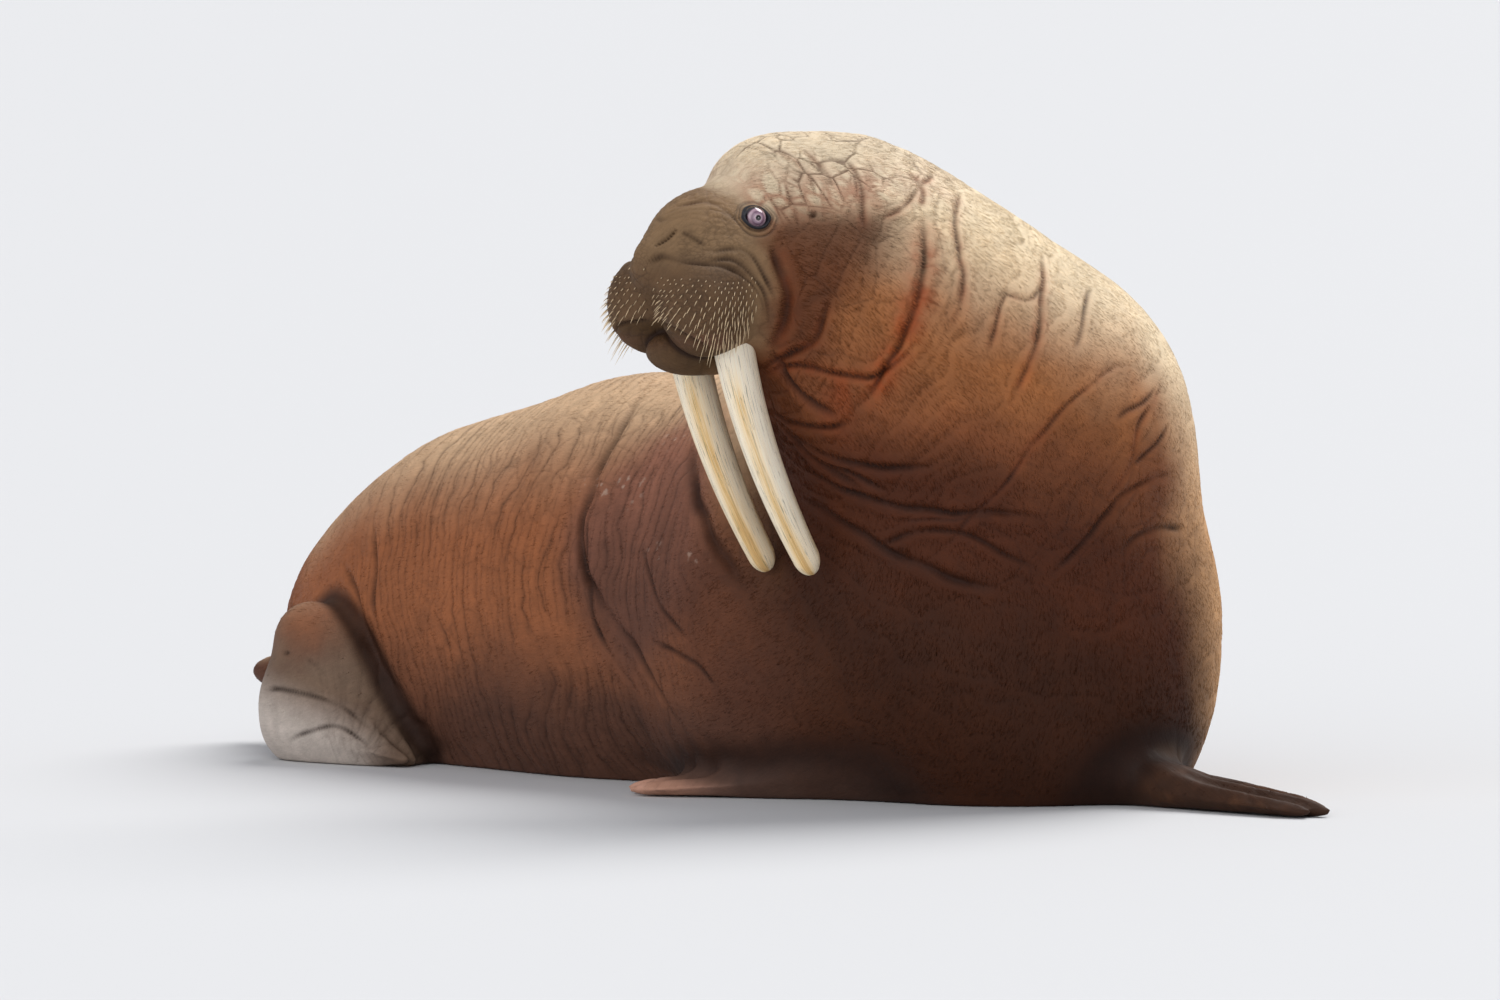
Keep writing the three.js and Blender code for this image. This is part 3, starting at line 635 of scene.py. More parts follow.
def over_mouth(head):
    """How many degrees points of the head frame lie over the line of the mouth, about the nearer pad's middle"""
    x, y, z = head[:, 0] - PAD_CENTER[0], np.abs(head[:, 1]) - PAD_CENTER[1], head[:, 2] - PAD_CENTER[2]
    yaw, pitch = np.degrees(np.arctan2(y, x)), np.degrees(np.arctan2(z, np.hypot(x, y)))
    return pitch - np.interp(yaw, *np.array(MOUTH, float).T)


def cast(path, y, way):
    """Where rays along y, from places given as x and z, meet the skin"""
    return surface_from(np.array([(x, y, z) for x, z in path], float), np.array([[0.0, way, 0.0]]))


FOLDS += [(depth, width, rust, [tuple(in_head(p)) for p in path]) for depth, width, rust, path in HEAD_FOLDS]
# The neck's far side has folds like those of its near side
FOLDS += [(0.4 * depth, width, rust, cast([(x + 15, z - 25) for x, _, z in path], 1200, -1))
          for depth, width, rust, path in FOLDS if min(path)[0] > 250 and min(z for *_, z in path) > 420]
FOLDS += [(4.5, 3.5, 0.1, cast(path, -400, 1)) for path in HIND_CREASES]


def each_fold(p, folds, reach):
    """For each fold, the points near it, how far off they lie and how far along it from 0 to 1"""
    for depth, width, rust, path in folds:
        line, along = smooth_line(np.array(path, float), 6)
        edge = reach * width + 8
        near = np.flatnonzero(((p > line.min(axis=0) - edge) & (p < line.max(axis=0) + edge)).all(axis=1))
        for i in range(0, len(near), FOLD_CHUNK):
            some = near[i:i + FOLD_CHUNK]
            apart = np.linalg.norm(p[some, None] - line, axis=2)
            best = apart.argmin(axis=1)
            yield depth, width, rust, some, apart[np.arange(len(some)), best], along[best] / along[-1]


def near_folds(p):
    """Whether each point lies close enough to a fold to need a finer mesh"""
    close = np.zeros(len(p), bool)
    for _, width, _, some, off, _ in each_fold(p, FOLDS, 3):
        close[some] |= off < 2.2 * width + 8
    return close & (far_from(p, HEAD_PLACE) > 200)


def fold_relief(p, folds):
    """The rise of the skin beside and in the folds, the painted shade in them and the rust about them"""
    rise, shade, rusty = np.zeros(len(p)), np.zeros(len(p)), np.zeros(len(p))
    for depth, width, rust, some, off, t in each_fold(p, folds, 7):
        fade = smooth(-0.02, 0.2, t) * smooth(1.02, 0.75, t)
        fade *= 0.9 + 0.3 * noise(p[some], 45, 77)
        depth, width = 1.25 * depth, 1.25 * width
        beside = np.exp(-((off - 2.2 * width - 3) / (1.3 * width + 3)) ** 2)
        rise[some] += depth * fade * (0.15 * beside - np.exp(-(off / width) ** 2))
        # Painted shade along the hollow of the fold, fainter for shallow ones
        shade[some] = np.maximum(shade[some], min(depth / 3, 1) ** 2 * fade * np.exp(-(off / (1.05 * width)) ** 2))
        crust = rust * (0.75 + 0.7 * noise(p[some], 16, 78, 2)) * fade
        rusty[some] = np.maximum(rusty[some], crust * np.exp(-(off / (1.5 * width + 2 + 16 * rust ** 4)) ** 2))
    return rise, shade, rusty


# Skin: its mesh, finer on the head, around the eyes and along the folds
LOW, HIGH = (-1120, -480, -40), (1160, 1560, 1290)
points, triangles = skin_mesh(body_field, LOW, HIGH, CELL)
points = settled(body_field, points, CELL / 2)

# Each eye: its name, its side, its place, and its ways out, forward and up
eyes = []
for name, s in SIDES:
    spot = on_side(s, *EYE_AT, 260)
    facing = head_way(mirrored(EYE_FACING, s))
    along = head_way((1, 0, 0))
    along = unit(along - facing * along.dot(facing))
    eyes.append((name, s, spot + facing * 2, facing, along, np.cross(facing, along) * s))

points, triangles = refined(points, triangles, (points[:, 0] > -900) & (points[:, 2] > 4))
points, triangles = refined(points, triangles, far_from(points, in_head((0, 0, -60))) < HEAD_FINE)
for _, _, spot, *_ in eyes:
    for reach in EYE_FINE:
        points, triangles = refined(points, triangles, far_from(points, spot) < reach)
points, triangles = refined(points, triangles, near_folds(points))
points = settled(body_field, points, CELL / 2, 1)
normals = unit(in_chunks(lambda p: slope_of(body_field, p)[1], points))


# Relief: how far the skin rises or sinks, and how much painted shade each point takes in folds, wrinkles and cracks

# The spacing of the fine and the coarse rings
TORSO_RINGS, NECK_RINGS = (19, 43), (24, 96)
# Each net of cracks: the size of its cells, its seed and its depth
CROWN_NETS = [(52, 41, 2.1), (30, 45, 0.9)]
MUZZLE_NETS = [(24, 48, 0.9), (10, 49, 0.45)]


def ridges(phase):
    """A row of rounded ridges from 0 to 1 with narrow valleys between them"""
    return np.abs(np.sin(math.pi * phase)) ** 0.55


def relief(p, along):
    """The rise of the skin, the painted shade in its folds, wrinkles and cracks, and its rust"""
    head = on_head(p)
    bent = p + 6 * noise_vector(p, 60, 31)
    rise, shade, rusty = fold_relief(bent, FOLDS)

    def carve(dip, dark, some=slice(None)):
        rise[some] -= dip
        shade[some] = np.maximum(shade[some], dark)

    wobble = 26 * noise(p, 190, 5) + 11 * noise(p, 60, 6) + 3 * noise(p, 20, 7)
    muzzle = smooth(0, 60, head[:, 0] + 0.3 * np.minimum(head[:, 2], 0)) * smooth(330, 250, far_from(p, HEAD_PLACE))
    bare_head = smooth(2560, 2660, along)

    # Rings round the torso and the neck, with painted shade in their valleys
    torso = smooth(420, 700, along) * smooth(1640, 1400, along)
    patches = smooth(-0.5, 0.3, noise(p, 130, 8))
    fine = 1 - ridges((along + wobble) / TORSO_RINGS[0])
    coarse = (1 - ridges((along + 1.7 * wobble) / TORSO_RINGS[1])) * (0.4 + 0.6 * smooth(-0.4, 0.3, noise(p, 90, 10)))
    carve(torso * (1.5 * fine * patches + 2.8 * coarse),
          torso * np.maximum(0.6 * fine ** 2 * patches, 0.85 * coarse ** 2.2))
    neck = smooth(1560, 1850, along) * (1 - bare_head)
    fine = 1 - ridges((along + 1.3 * wobble) / NECK_RINGS[0])
    coarse = 1 - ridges((along + 2.2 * wobble + 20) / NECK_RINGS[1])
    patches = smooth(0.0, 0.6, noise(p, 110, 9))
    far = smooth(0, 160, p[:, 1])
    carve(neck * (0.9 * fine * patches + (1.6 + 1.2 * far) * coarse ** 2),
          neck * np.maximum(0.25 * fine ** 4 * patches, (0.25 + 0.2 * far) * coarse ** 6))

    # A net of long cracks over the crown and the nape, and fainter ones over the rest, with painted shade in them
    crown = smooth(-40, 35, head[:, 2] + 0.25 * head[:, 0]) * smooth(40, -20, head[:, 0]) * smooth(2200, 2450, along)
    slanted = on_head(bent)
    slanted = np.stack([1.3 * (slanted[:, 0] - 0.5 * slanted[:, 2]), slanted[:, 1], 0.5 * slanted[:, 2]], axis=1)
    for size, seed, depth in CROWN_NETS:
        net = cracked(slanted, size, seed) * size
        crack = np.exp(-(net / 3.2) ** 2) * smooth(-0.3, 0.2, noise(p, 60, seed + 5))
        carve(depth * crown * crack, 0.42 * depth * crown * crack)
        rusty = np.maximum(rusty, 0.8 * crown * np.exp(-(net / 7) ** 2) * smooth(120, 20, head[:, 2]))
    slack = smooth(-0.1, 0.5, noise(p, 240, 12)) * (1 - muzzle) * (1 - crown)
    crack = np.exp(-(cracked(bent * (1, 1, 0.7) + 500, 60, 43) / 0.05) ** 2)
    carve(0.8 * slack * crack, 0.25 * slack * crack)

    # Fine wrinkles round the pads and over the muzzle, and the line of the mouth, with painted shade in them
    pad_off = np.minimum.reduce([far_from((head - mirrored(PAD_CENTER, s)) / np.array(PAD_RADII), 0)
                                 for _, s in SIDES])
    behind = muzzle * smooth(1.02, 1.15, pad_off)
    wrinkle = 1 - ridges((pad_off * 85 + 7 * noise(p, 34, 14)) / 8.5)
    carve(behind * 0.9 * wrinkle, 0.28 * behind * wrinkle ** 3)
    scaly = np.flatnonzero(muzzle > 0.01)
    for size, seed, depth in MUZZLE_NETS:
        net = cracked(bent[scaly] * (1, 1, 1.5), size, seed) * size
        crack = muzzle[scaly] * np.exp(-(net / (0.8 + 0.07 * size)) ** 2) * smooth(-0.5, 0.3, noise(p[scaly], 50, seed))
        carve(depth * crack, 0.4 * crack, scaly)
    carve(0, smooth(13, 2, np.abs(head_near(p)) + np.abs(jaw_near(p))))
    for _, s in SIDES:
        dip, dark, _ = fold_relief(p, [(5, 2.9, 0, on_pad(s, *np.array(MOUTH, float).T))])
        carve(-dip, dark)
    # Where a limb meets the trunk: a sunk crease with painted shade, weaker high up and on the far side
    for field, width in limbs:
        joint = smooth(2.0 * width, 0.55 * width, np.abs(field(p)) + np.abs(trunk_field(p)))
        carve(3.0 * joint, joint * smooth(500, 380, p[:, 2]) * (0.4 + 0.6 * smooth(1200, 1050, p[:, 1])))
    # Slow lumps of fat
    rise += 2.6 * noise(p, 190, 3) * (1 - smooth(2500, 2700, along)) + 0.6 * noise(p, 40, 4)

    # Nostrils and ears, sunk and darkened with painted shade
    for _, s in SIDES:
        towards = head_way((-0.83, 0, -0.55))
        starts = np.array([in_head((x, s * y, z)) for x, y, z in NOSTRIL]) - 120 * towards
        path = surface_from(starts, np.repeat(towards[None], 3, axis=0))
        dip, dark, _ = fold_relief(p, [(5.5, 2.3, 0, path), (1.2, 7, 0, path)])
        carve(-dip, dark)
        off = far_from(p, on_side(s, *EAR_AT, 300))
        carve(7 * np.exp(-(off / 5) ** 2) - 1.8 * np.exp(-((off - 11) / 5) ** 2), np.exp(-(off / 7.5) ** 2))
    return rise, shade, rusty


def lidded(p):
    """Opens the skin over each eye, with a thick rim and folds around it; gives the rim's darkness too, with painted
    shade in the folds
    """
    moved, dark = p.copy(), np.zeros(len(p))
    for _, _, spot, facing, along, upright in eyes:
        out = p - spot
        near = np.linalg.norm(out, axis=1) < 80
        x, y = out[near] @ along, out[near] @ upright
        wide = 1.12 - 0.1 * smooth(0, 14, np.abs(y))
        off = np.hypot(x / wide, y * 1.06)
        angle = np.arctan2(y, x)
        rim = EYE_OPENING + 1.2 * np.cos(2 * angle)
        thick = 4.2 - 1.0 * np.sin(angle)
        hole = smooth(rim + 1.0, rim - 1.0, off)
        lid = np.exp(-((off - rim - 0.8 * thick) / thick) ** 2)
        fold = np.exp(-((off - rim - 2.6 * thick) / 1.8) ** 2)
        fold += 0.8 * np.exp(-((off - rim - 18 - 2 * np.sin(angle)) / 2.2) ** 2)
        bag = np.exp(-((off - rim - 14) / 3.2) ** 2)
        moved[near] += facing * (LID_HEIGHT * lid - 2.4 * fold + 1.5 * bag - 16 * hole)[:, None]
        rims = smooth(rim + 2.3 * thick, rim + 1.5 * thick, off)
        # A dark rim on the lid, and painted shade in the folds round it
        dark[near] = np.maximum(dark[near], np.maximum(rims, 0.35 * np.minimum(fold, 1)))
    return moved, dark


along, around = body_place(points)
rise, shade, rusty = relief(points, along)
rise *= smooth(1, 22, points[:, 2] - FLOOR_LIFT)
points = points + normals * rise[:, None]
points, lid_rim_and_shade = lidded(points)
points[:, 2] = np.maximum(points[:, 2], FLOOR_LIFT)
print("skin", len(points), len(triangles))


# Markings, with painted shade and light, shared by the skin and the fur

def paint(code):
    """A colour in linear light from its usual hexadecimal code"""
    c = np.array([int(code[i:i + 2], 16) for i in (0, 2, 4)]) / 255
    return np.where(c < 0.04045, c / 12.92, ((c + 0.055) / 1.055) ** 2.4)


def paints(codes):
    return [paint(code) for code in codes.split()]


# The third and the fourth of the next colours are painted rim light
CROWN, NAPE, RIM_LIGHT, LOW_RIM_LIGHT, NECK, FLANK = paints("e0cdb0 dec098 ecd8b6 d9a877 9d643a 764427")
# The last of the next colours is painted shade for the creases
CHEST, BELLY, CHEEK, RUST, CREASE_SHADE = paints("4c2410 3a1b09 5b321c 9c4219 200e07")
# The second of the next colours is a paler back, partly painted top light
TORSO, SADDLE_AND_TOP_LIGHT, LOW_HIDE, PURPLE, BRUISE, SCAR = paints("925836 d0b18e 5a3a2c 8b5b49 57382d b39c8c")
# Of the next colours, the fourth darkens the lids' rims and lays painted shade in the folds round the eyes, and the
# fifth is painted shade for the cracks on the crown
FACE, PAD, LIP, LID_RIM_AND_SHADE, CRACK_SHADE, CHIN = paints("84694c 624a34 7b5444 25262c 5d4230 442f17")
HIND_TONE, HIND_BLOTCH, HIND_SCUFF_AND_SHEEN = paints("76604f 5a463a bdb2a9")

# Each flipper: its tone, its blotches, and between which heights it takes the body's colours
LIMB_LOOKS = [
    # The right fore flipper's pink skin is made paler as painted light, where the body shades it
    (*paints("3a2316 5a3924"), 300, 430), (*paints("cf9f8a a67c68"), 150, 380),
    (HIND_TONE, HIND_BLOTCH, 150, 390), (HIND_TONE, HIND_BLOTCH, 150, 390),
]


def markings_with_painted_light(p, normals, along, around, shade, rusty, lid_rim_and_shade):
    """The colour of each point, painted layer over layer, painted shade and light among the layers"""
    head = on_head(p)
    x, _, z = p.T
    near_head = far_from(p, HEAD_PLACE)
    patch = noise(p, 120, 51, 3)
    speck = noise(p, 22, 52, 2)
    dorsal = smooth(1.75, 0.45, np.abs(around) + 0.3 * patch)
    color = mix(LOW_HIDE, TORSO, smooth(90, 330, z + 60 * patch))

    def lay(tone, amount):
        nonlocal color
        color = mix(color, tone, amount)

    # A paler back: partly the coat's own colour, partly painted top light where the skin faces up
    lay(SADDLE_AND_TOP_LIGHT, 0.85 * dorsal * smooth(0.25, 0.9, normals[:, 2] + 0.15 * patch))
    shoulder = np.exp(-(far_from(p, (-130, 330, 430)) / 270) ** 2)
    lay(mix(BRUISE, PURPLE, smooth(330, 640, z + 80 * patch)), 0.9 * smooth(0.25, 0.7, shoulder + 0.15 * patch))
    front = np.exp(-(far_from(p, (40, 100, 300)) / 210) ** 2)
    lay(mix(CHEST, BRUISE, 0.5), 0.75 * smooth(0.2, 0.7, front + 0.12 * patch))

    # The neck and the chest: darkest low down and in front, and pale at the back and at the right-hand edge with
    # painted rim light
    height = z + 0.35 * (x - 350) + 55 * patch
    neck_color = BELLY
    for tone, low, high in ((CHEST, 250, 540), (FLANK, 530, 720), (NECK, 670, 870), (NAPE, 880, 1090)):
        neck_color = mix(neck_color, tone, smooth(low, high, height))
    # Painted rim light: the coat is paled over the back and on the sides that face back and to the right, towards the
    # light from behind
    rim_light_side = smooth(0.3, 0.85, normals @ unit(np.array([0.85, 0.4, 0.35])) + 0.12 * patch)
    neck_color = mix(neck_color, mix(LOW_RIM_LIGHT, RIM_LIGHT, smooth(450, 850, z)),
                     0.9 * np.maximum(dorsal * smooth(150, 700, z), rim_light_side * smooth(-60, 200, z)))
    lay(neck_color, smooth(1500, 1850, along + 60 * patch))
    lay(CROWN, smooth(2250, 2600, along + 40 * patch) * smooth(-20, 70, head[:, 2] + 20 * patch))
    cheek = smooth(2330, 2480, along + 30 * patch) * smooth(50, -30, head[:, 2] + 25 * patch)
    lay(CHEEK, 0.9 * (cheek * smooth(350, 240, near_head + 40 * patch)))
    lay(RUST, 0.75 * np.clip(rusty, 0, 1) * smooth(420, 820, z))
    ochre = smooth(0.25, 0.7, noise(p * (1, 1, 0.5), 70, 57, 2)) * np.exp(-(far_from(p, (180, -250, 930)) / 230) ** 4)
    lay(RUST, 0.5 * ochre)

    # The bare face, its pads and lips
    face = smooth(-25, 50, head[:, 0] - 0.4 * np.maximum(head[:, 2] - 15, 0) + 14 * speck + 16 * patch)
    face = face * smooth(2480, 2600, along) * smooth(100, 60, head[:, 2])
    lay(mix(FACE, PAD, smooth(-30, -110, head[:, 2]) * smooth(20, 80, head[:, 0])), face)
    lips = np.exp(-((head[:, 2] + 215) / 14) ** 2) * smooth(70, 110, head[:, 0])
    lay(LIP, 0.5 * lips * face)
    chin = smooth(3, -4, over_mouth(head)) * smooth(45, 75, head[:, 0]) * smooth(330, 250, near_head)
    lay(CHIN, 0.85 * chin)

    # Flippers
    for (field, _), (tone, second, low, high) in zip(limbs, LIMB_LOOKS):
        limb = smooth(60, 0, field(p) + 12 * patch) * smooth(high, low, z + 50 * patch)
        own = mix(tone, second, smooth(-0.3, 0.7, patch + 0.35 * speck))
        if tone is HIND_TONE:
            # Each hind limb's lower left is paled: partly scuffed skin, partly a painted wet highlight
            own = mix(own, HIND_SCUFF_AND_SHEEN, smooth(-640, -800, x + 60 * patch) * smooth(190, 60, z + 0.4 * (x + 900)))
        lay(own, limb * smooth(-15, 40, trunk_field(p) + 10 * patch))
    scars = smooth(0.55, 0.66, noise(p * (1, 1, 0.6), 8, 61)) * smooth(0.1, 0.4, noise(p, 110, 62))
    lay(SCAR, 0.55 * scars * smooth(0.25, 0.6, shoulder))
    # Painted shade in every fold, wrinkle, crack and crease: grey-brown on the crown, near black elsewhere
    on_top = smooth(2150, 2400, along) * smooth(-30, 60, head[:, 2])
    lay(mix(CREASE_SHADE, CRACK_SHADE, on_top), np.clip(shade, 0, 1) * 0.85)
    lay(LID_RIM_AND_SHADE, np.clip(lid_rim_and_shade * 1.2, 0, 1))
    return color * (1 + 0.13 * speck + 0.14 * patch)[:, None]


colors = markings_with_painted_light(points, normals, along, around, shade, rusty, lid_rim_and_shade)
skin = make_mesh("skin", points, triangles)
give_color(skin, "hide", colors)
# The place along the body and around it, for the grain of the coat
FLOW_AROUND = 0.35
give_vector(skin, "flow", np.stack(
    [along * MILLIMETRE, FLOW_AROUND * np.cos(around), FLOW_AROUND * np.sin(around)], axis=1))
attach(skin, "root")
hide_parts(*FLESH_NODES)


# Materials

class Nodes:
    """Short ways to build one material's nodes"""

    def __init__(self, name):
        self.material = bpy.data.materials.new(name)
        self.material.use_nodes = True
        self.tree = self.material.node_tree
        self.shader = self.tree.nodes["Principled BSDF"]

    def put(self, node, inputs):
        """Sets a node's inputs, each to a value or to another node's output"""
        for key, value in inputs.items():
            if hasattr(value, "is_linked"):
                self.tree.links.new(value, node.inputs[key])
            else:
                node.inputs[key].default_value = value

    def add(self, kind, output, inputs, **settings):
        node = self.tree.nodes.new("ShaderNode" + kind)
        for key, value in settings.items():
            setattr(node, key, value)
        self.put(node, inputs)
        return node.outputs[output]

    def attribute(self, name, output="Color"):
        return self.add("Attribute", output, {}, attribute_name=name)

    def place(self):
        return self.add("TexCoord", "Object", {})

    def scaled(self, vector, factors):
        return self.add("VectorMath", 0, {0: vector, 1: factors}, operation="MULTIPLY")

    def noise(self, vector, scale, detail=3.0, roughness=0.55):
        return self.add("TexNoise", "Fac", {"Vector": vector, "Scale": scale, "Detail": detail, "Roughness": roughness})

    def cells(self, vector, scale):
        return self.add("TexVoronoi", "Distance", {"Vector": vector, "Scale": scale}, feature="DISTANCE_TO_EDGE")

    def ramp(self, value, low, high, from_low=0.0, from_high=1.0):
        return self.add("MapRange", "Result", {
            "Value": value, "From Min": from_low, "From Max": from_high, "To Min": low, "To Max": high})

    def math(self, operation, a, b):
        return self.add("Math", 0, {0: a, 1: b}, operation=operation)

    def times(self, color, value):
        return self.add("VectorMath", 0, {0: color, "Scale": value}, operation="SCALE")

    def bump(self, height, strength, distance, normal=None):
        below = {"Normal": normal} if normal else {}
        return self.add("Bump", "Normal", {"Height": height, "Strength": strength, "Distance": distance, **below})

    def colors(self, value, stops):
        node = self.tree.nodes.new("ShaderNodeValToRGB")
        self.put(node, {"Fac": value})
        while len(node.color_ramp.elements) < len(stops):
            node.color_ramp.elements.new(0.5)
        for element, (position, code) in zip(node.color_ramp.elements, stops):
            element.position = position
            element.color = (*paint(code), 1)
        return node.outputs["Color"]

    def finish(self, color, roughness, normal=None, **fixed):
        self.put(self.shader, {"Base Color": color, "Roughness": roughness})
        if normal:
            self.put(self.shader, {"Normal": normal})
        self.put(self.shader, {key.replace("_", " "): value for key, value in fixed.items()})
        return self.material


hide = Nodes("hide")
place = hide.place()
flow = hide.attribute("flow", "Vector")
hairs = hide.noise(hide.scaled(flow, (0.16, 1, 1)), 420, 3)
streaks = hide.noise(hide.scaled(flow, (0.3, 1, 1)), 130, 4)
grain = hide.cells(place, 210)
pores = hide.noise(place, 480, 4)
blotch = hide.noise(place, 34, 5)
tone = hide.ramp(hairs, 0.84, 1.16)
for pattern, *limits in ((blotch, 0.84, 1.16), (streaks, 0.88, 1.12), (grain, 0.93, 1.02, 0.0, 0.12)):
    tone = hide.math("MULTIPLY", tone, hide.ramp(pattern, *limits))
coat_bump = hide.bump(hairs, 0.35, 0.0016)
skin_bump = hide.bump(hide.ramp(grain, 0, 1, 0.0, 0.15), 0.15, 0.0008, coat_bump)
skin_bump = hide.bump(pores, 0.35, 0.0009, skin_bump)
skin.data.materials.append(hide.finish(
    hide.times(hide.attribute("hide"), tone), hide.ramp(blotch, 0.55, 0.75), skin_bump, Specular_IOR_Level=0.2))


def loft(rings, closed_ends=True):
    """Points and triangles of a tube through rings of points"""
    rings = np.asarray(rings)
    count, around_count = rings.shape[:2]
    points = rings.reshape(-1, 3)
    i, j = np.meshgrid(np.arange(count - 1), np.arange(around_count), indexing="ij")
    a = (i * around_count + j).ravel()
    b = (i * around_count + (j + 1) % around_count).ravel()
    triangles = [np.stack([a, b, b + around_count], 1), np.stack([a, b + around_count, a + around_count], 1)]
    if closed_ends:
        j = np.arange(1, around_count - 1)
        last = (count - 1) * around_count
        triangles += [np.stack([j * 0, j + 1, j], 1), np.stack([last + j * 0, last + j, last + j + 1], 1)]
    return points, np.concatenate(triangles)


eye_nodes = Nodes("eye")
ripple = eye_nodes.ramp(eye_nodes.noise(eye_nodes.place(), 500, 3), -0.02, 0.02)
# Colours from the middle of the eye outwards: the pupil, the iris with its rings, and the dark white of the eye
EYE_RINGS = [(0.0, "141014"), (0.11, "141014"), (0.14, "b79fa8"), (0.2, "94778a"), (0.29, "6f5365"),
             (0.37, "a98b9a"), (0.44, "b79aa6"), (0.5, "5f4752"), (0.56, "221b20"), (0.9, "1c161a")]
EYE_STEPS, EYE_SIDES = 49, 64
# The angle from the axis, in radians, at which EYE_RINGS ends
EYE_SPAN = 1.8
eye_material = eye_nodes.finish(
    eye_nodes.colors(eye_nodes.math("ADD", eye_nodes.attribute("off_axis", "Fac"), ripple), EYE_RINGS), 0.08,
    Specular_IOR_Level=0.6, Coat_Weight=0.5)
polar = np.linspace(0, math.pi, EYE_STEPS)[:, None, None]
turn = np.linspace(0, 2 * math.pi, EYE_SIDES, endpoint=False)[None, :, None]
cornea = 1 + 0.05 * np.exp(-(polar / 0.55) ** 2)
for name, s, spot, facing, along_eye, upright in eyes:
    ball = spot - facing * EYE_DEPTH + EYE_RADIUS * cornea * (np.cos(polar) * facing + np.sin(polar) * (
        np.cos(turn) * along_eye + np.sin(turn) * upright * s))
    ball_points, ball_triangles = loft(ball, False)
    eye = make_mesh(f"eye_{name}", ball_points, ball_triangles[:, ::-1])
    give(eye, "off_axis", np.repeat(polar.ravel() / EYE_SPAN, EYE_SIDES))
    eye.data.materials.append(eye_material)
    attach(eye, "root")
    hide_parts(f"eye_{name}")

# Tusks, curved back and in, with long grooves and fine cracks
TUSK_ROOT = (38, 64, -205)
TUSK_LENGTH, TUSK_SWEEP, TUSK_BOW, TUSK_CLOSING = 430, 194, 25, 2
TUSK_LONG, TUSK_WIDE, TUSK_TIP = 41.6, 30.6, 0.62
TUSK_STEPS, TUSK_SIDES = 150, 72
# Where the tip starts to round off
TIP_FROM = 0.93
# How far round from the front the ochre strip lies, in degrees, and how dark the stain and the painted shade get
STRIP_AT, STRIP_WIDE = 42, 24
STAIN_LIMIT = 0.6
# Colours from clean to stained ivory, which also give the far tusk its painted shade
IVORY_RINGS = [(0.0, "fff4de"), (0.3, "fce6c0"), (0.5, "ecc788"), (0.72, "c68f4c"), (1.0, "80552c")]
ivory = Nodes("ivory")
grain = ivory.attribute("grain", "Vector")
lines, fibres, cracks = (ivory.noise(ivory.scaled(grain, (1, 1, squeeze)), *rest) for squeeze, *rest in (
    (0.03, 26, 5, 0.6), (0.012, 60, 3, 0.5), (0.02, 14, 2, 0.45)))
stain_and_shade = ivory.attribute("stain_and_shade", "Fac")
tint = ivory.colors(ivory.math("ADD", stain_and_shade, ivory.ramp(lines, -0.45, 0.38)), IVORY_RINGS)
crack_at = ivory.math("ABSOLUTE", ivory.math("SUBTRACT", cracks, 0.5), 0.0)
dark_line = ivory.ramp(crack_at, 0.3, 1.0, 0.004, 0.014)
dark_fibre = ivory.ramp(fibres, 0.9, 1.04, 0.32, 0.42)
ivory_material = ivory.finish(
    ivory.times(ivory.times(tint, dark_line), dark_fibre), ivory.ramp(lines, 0.35, 0.55),
    ivory.bump(dark_line, 0.5, 0.0012, ivory.bump(lines, 0.4, 0.0015)), Specular_IOR_Level=0.4)
t = np.linspace(0, 1, TUSK_STEPS)
back = TUSK_SWEEP * t + TUSK_BOW * 4 * t * (t - 1)
size = (1 - (1 - TUSK_TIP) * t) * np.sqrt(
    np.maximum(1 - np.maximum((t - TIP_FROM) / 0.07, 0) ** 2 * 0.97, 0.01))
angle = np.linspace(0, 2 * math.pi, TUSK_SIDES, endpoint=False)
ring = np.stack([np.cos(angle), np.sin(angle)], axis=1)
for name, s in SIDES:
    x, y, z = TUSK_ROOT
    curve = np.array([in_head(q) for q in zip(x - back, s * (y - TUSK_CLOSING * t), z - TUSK_LENGTH * t)])
    tangent = unit(np.gradient(curve, axis=0))
    across = unit(head_way((1, 0, 0)) - tangent * (tangent @ head_way((1, 0, 0)))[:, None])
    upright = np.cross(tangent, across)
    groove = np.array([noise(np.stack([*ring.T * 30, np.full(TUSK_SIDES, q * 40 + 90 * s)], 1), 9, 71, 2) for q in t])
    scale = 1 + 0.018 * groove - 0.035 * np.exp(-((np.sin(angle) * s - 0.55) / 0.12) ** 2) * (np.cos(angle) > 0)
    section = (TUSK_LONG * np.cos(angle)[None, :, None] * across[:, None]
               + TUSK_WIDE * np.sin(angle)[None, :, None] * upright[:, None])
    tusk = make_mesh(f"tusk_{name}", *loft(curve[:, None] + size[:, None, None] * scale[:, :, None] * section))
    give_vector(tusk, "grain", np.column_stack(
        [np.tile(ring, (TUSK_STEPS, 1)), np.repeat(t * 8 + s, TUSK_SIDES)]))
    front = np.exp(-((np.degrees(np.arccos(np.cos(angle))) - STRIP_AT) / STRIP_WIDE) ** 2)
    behind = smooth(0.2, 0.95, -np.cos(angle))
    streak = 1.2 * front[None] * smooth(0.02, 0.3, t)[:, None] + 0.8 * behind[None] + 0.5 * smooth(0.55, 1, t)[:, None]
    # The right tusk, the far one, starts darker all over: painted shade
    give(tusk, "stain_and_shade", np.minimum((0.03 if s > 0 else 0.1) + 0.36 * streak, STAIN_LIMIT))
    tusk.data.materials.append(ivory_material)
    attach(tusk, "root")
    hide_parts(f"tusk_{name}")

# Whiskers: curved, tapered bristles in rows over the pads, longest low down and at the sides
WHISKER_ROWS, WHISKER_COLUMNS = 14, 16
WHISKER_RADIUS = 0.85
WHISKER_SIDES = 6
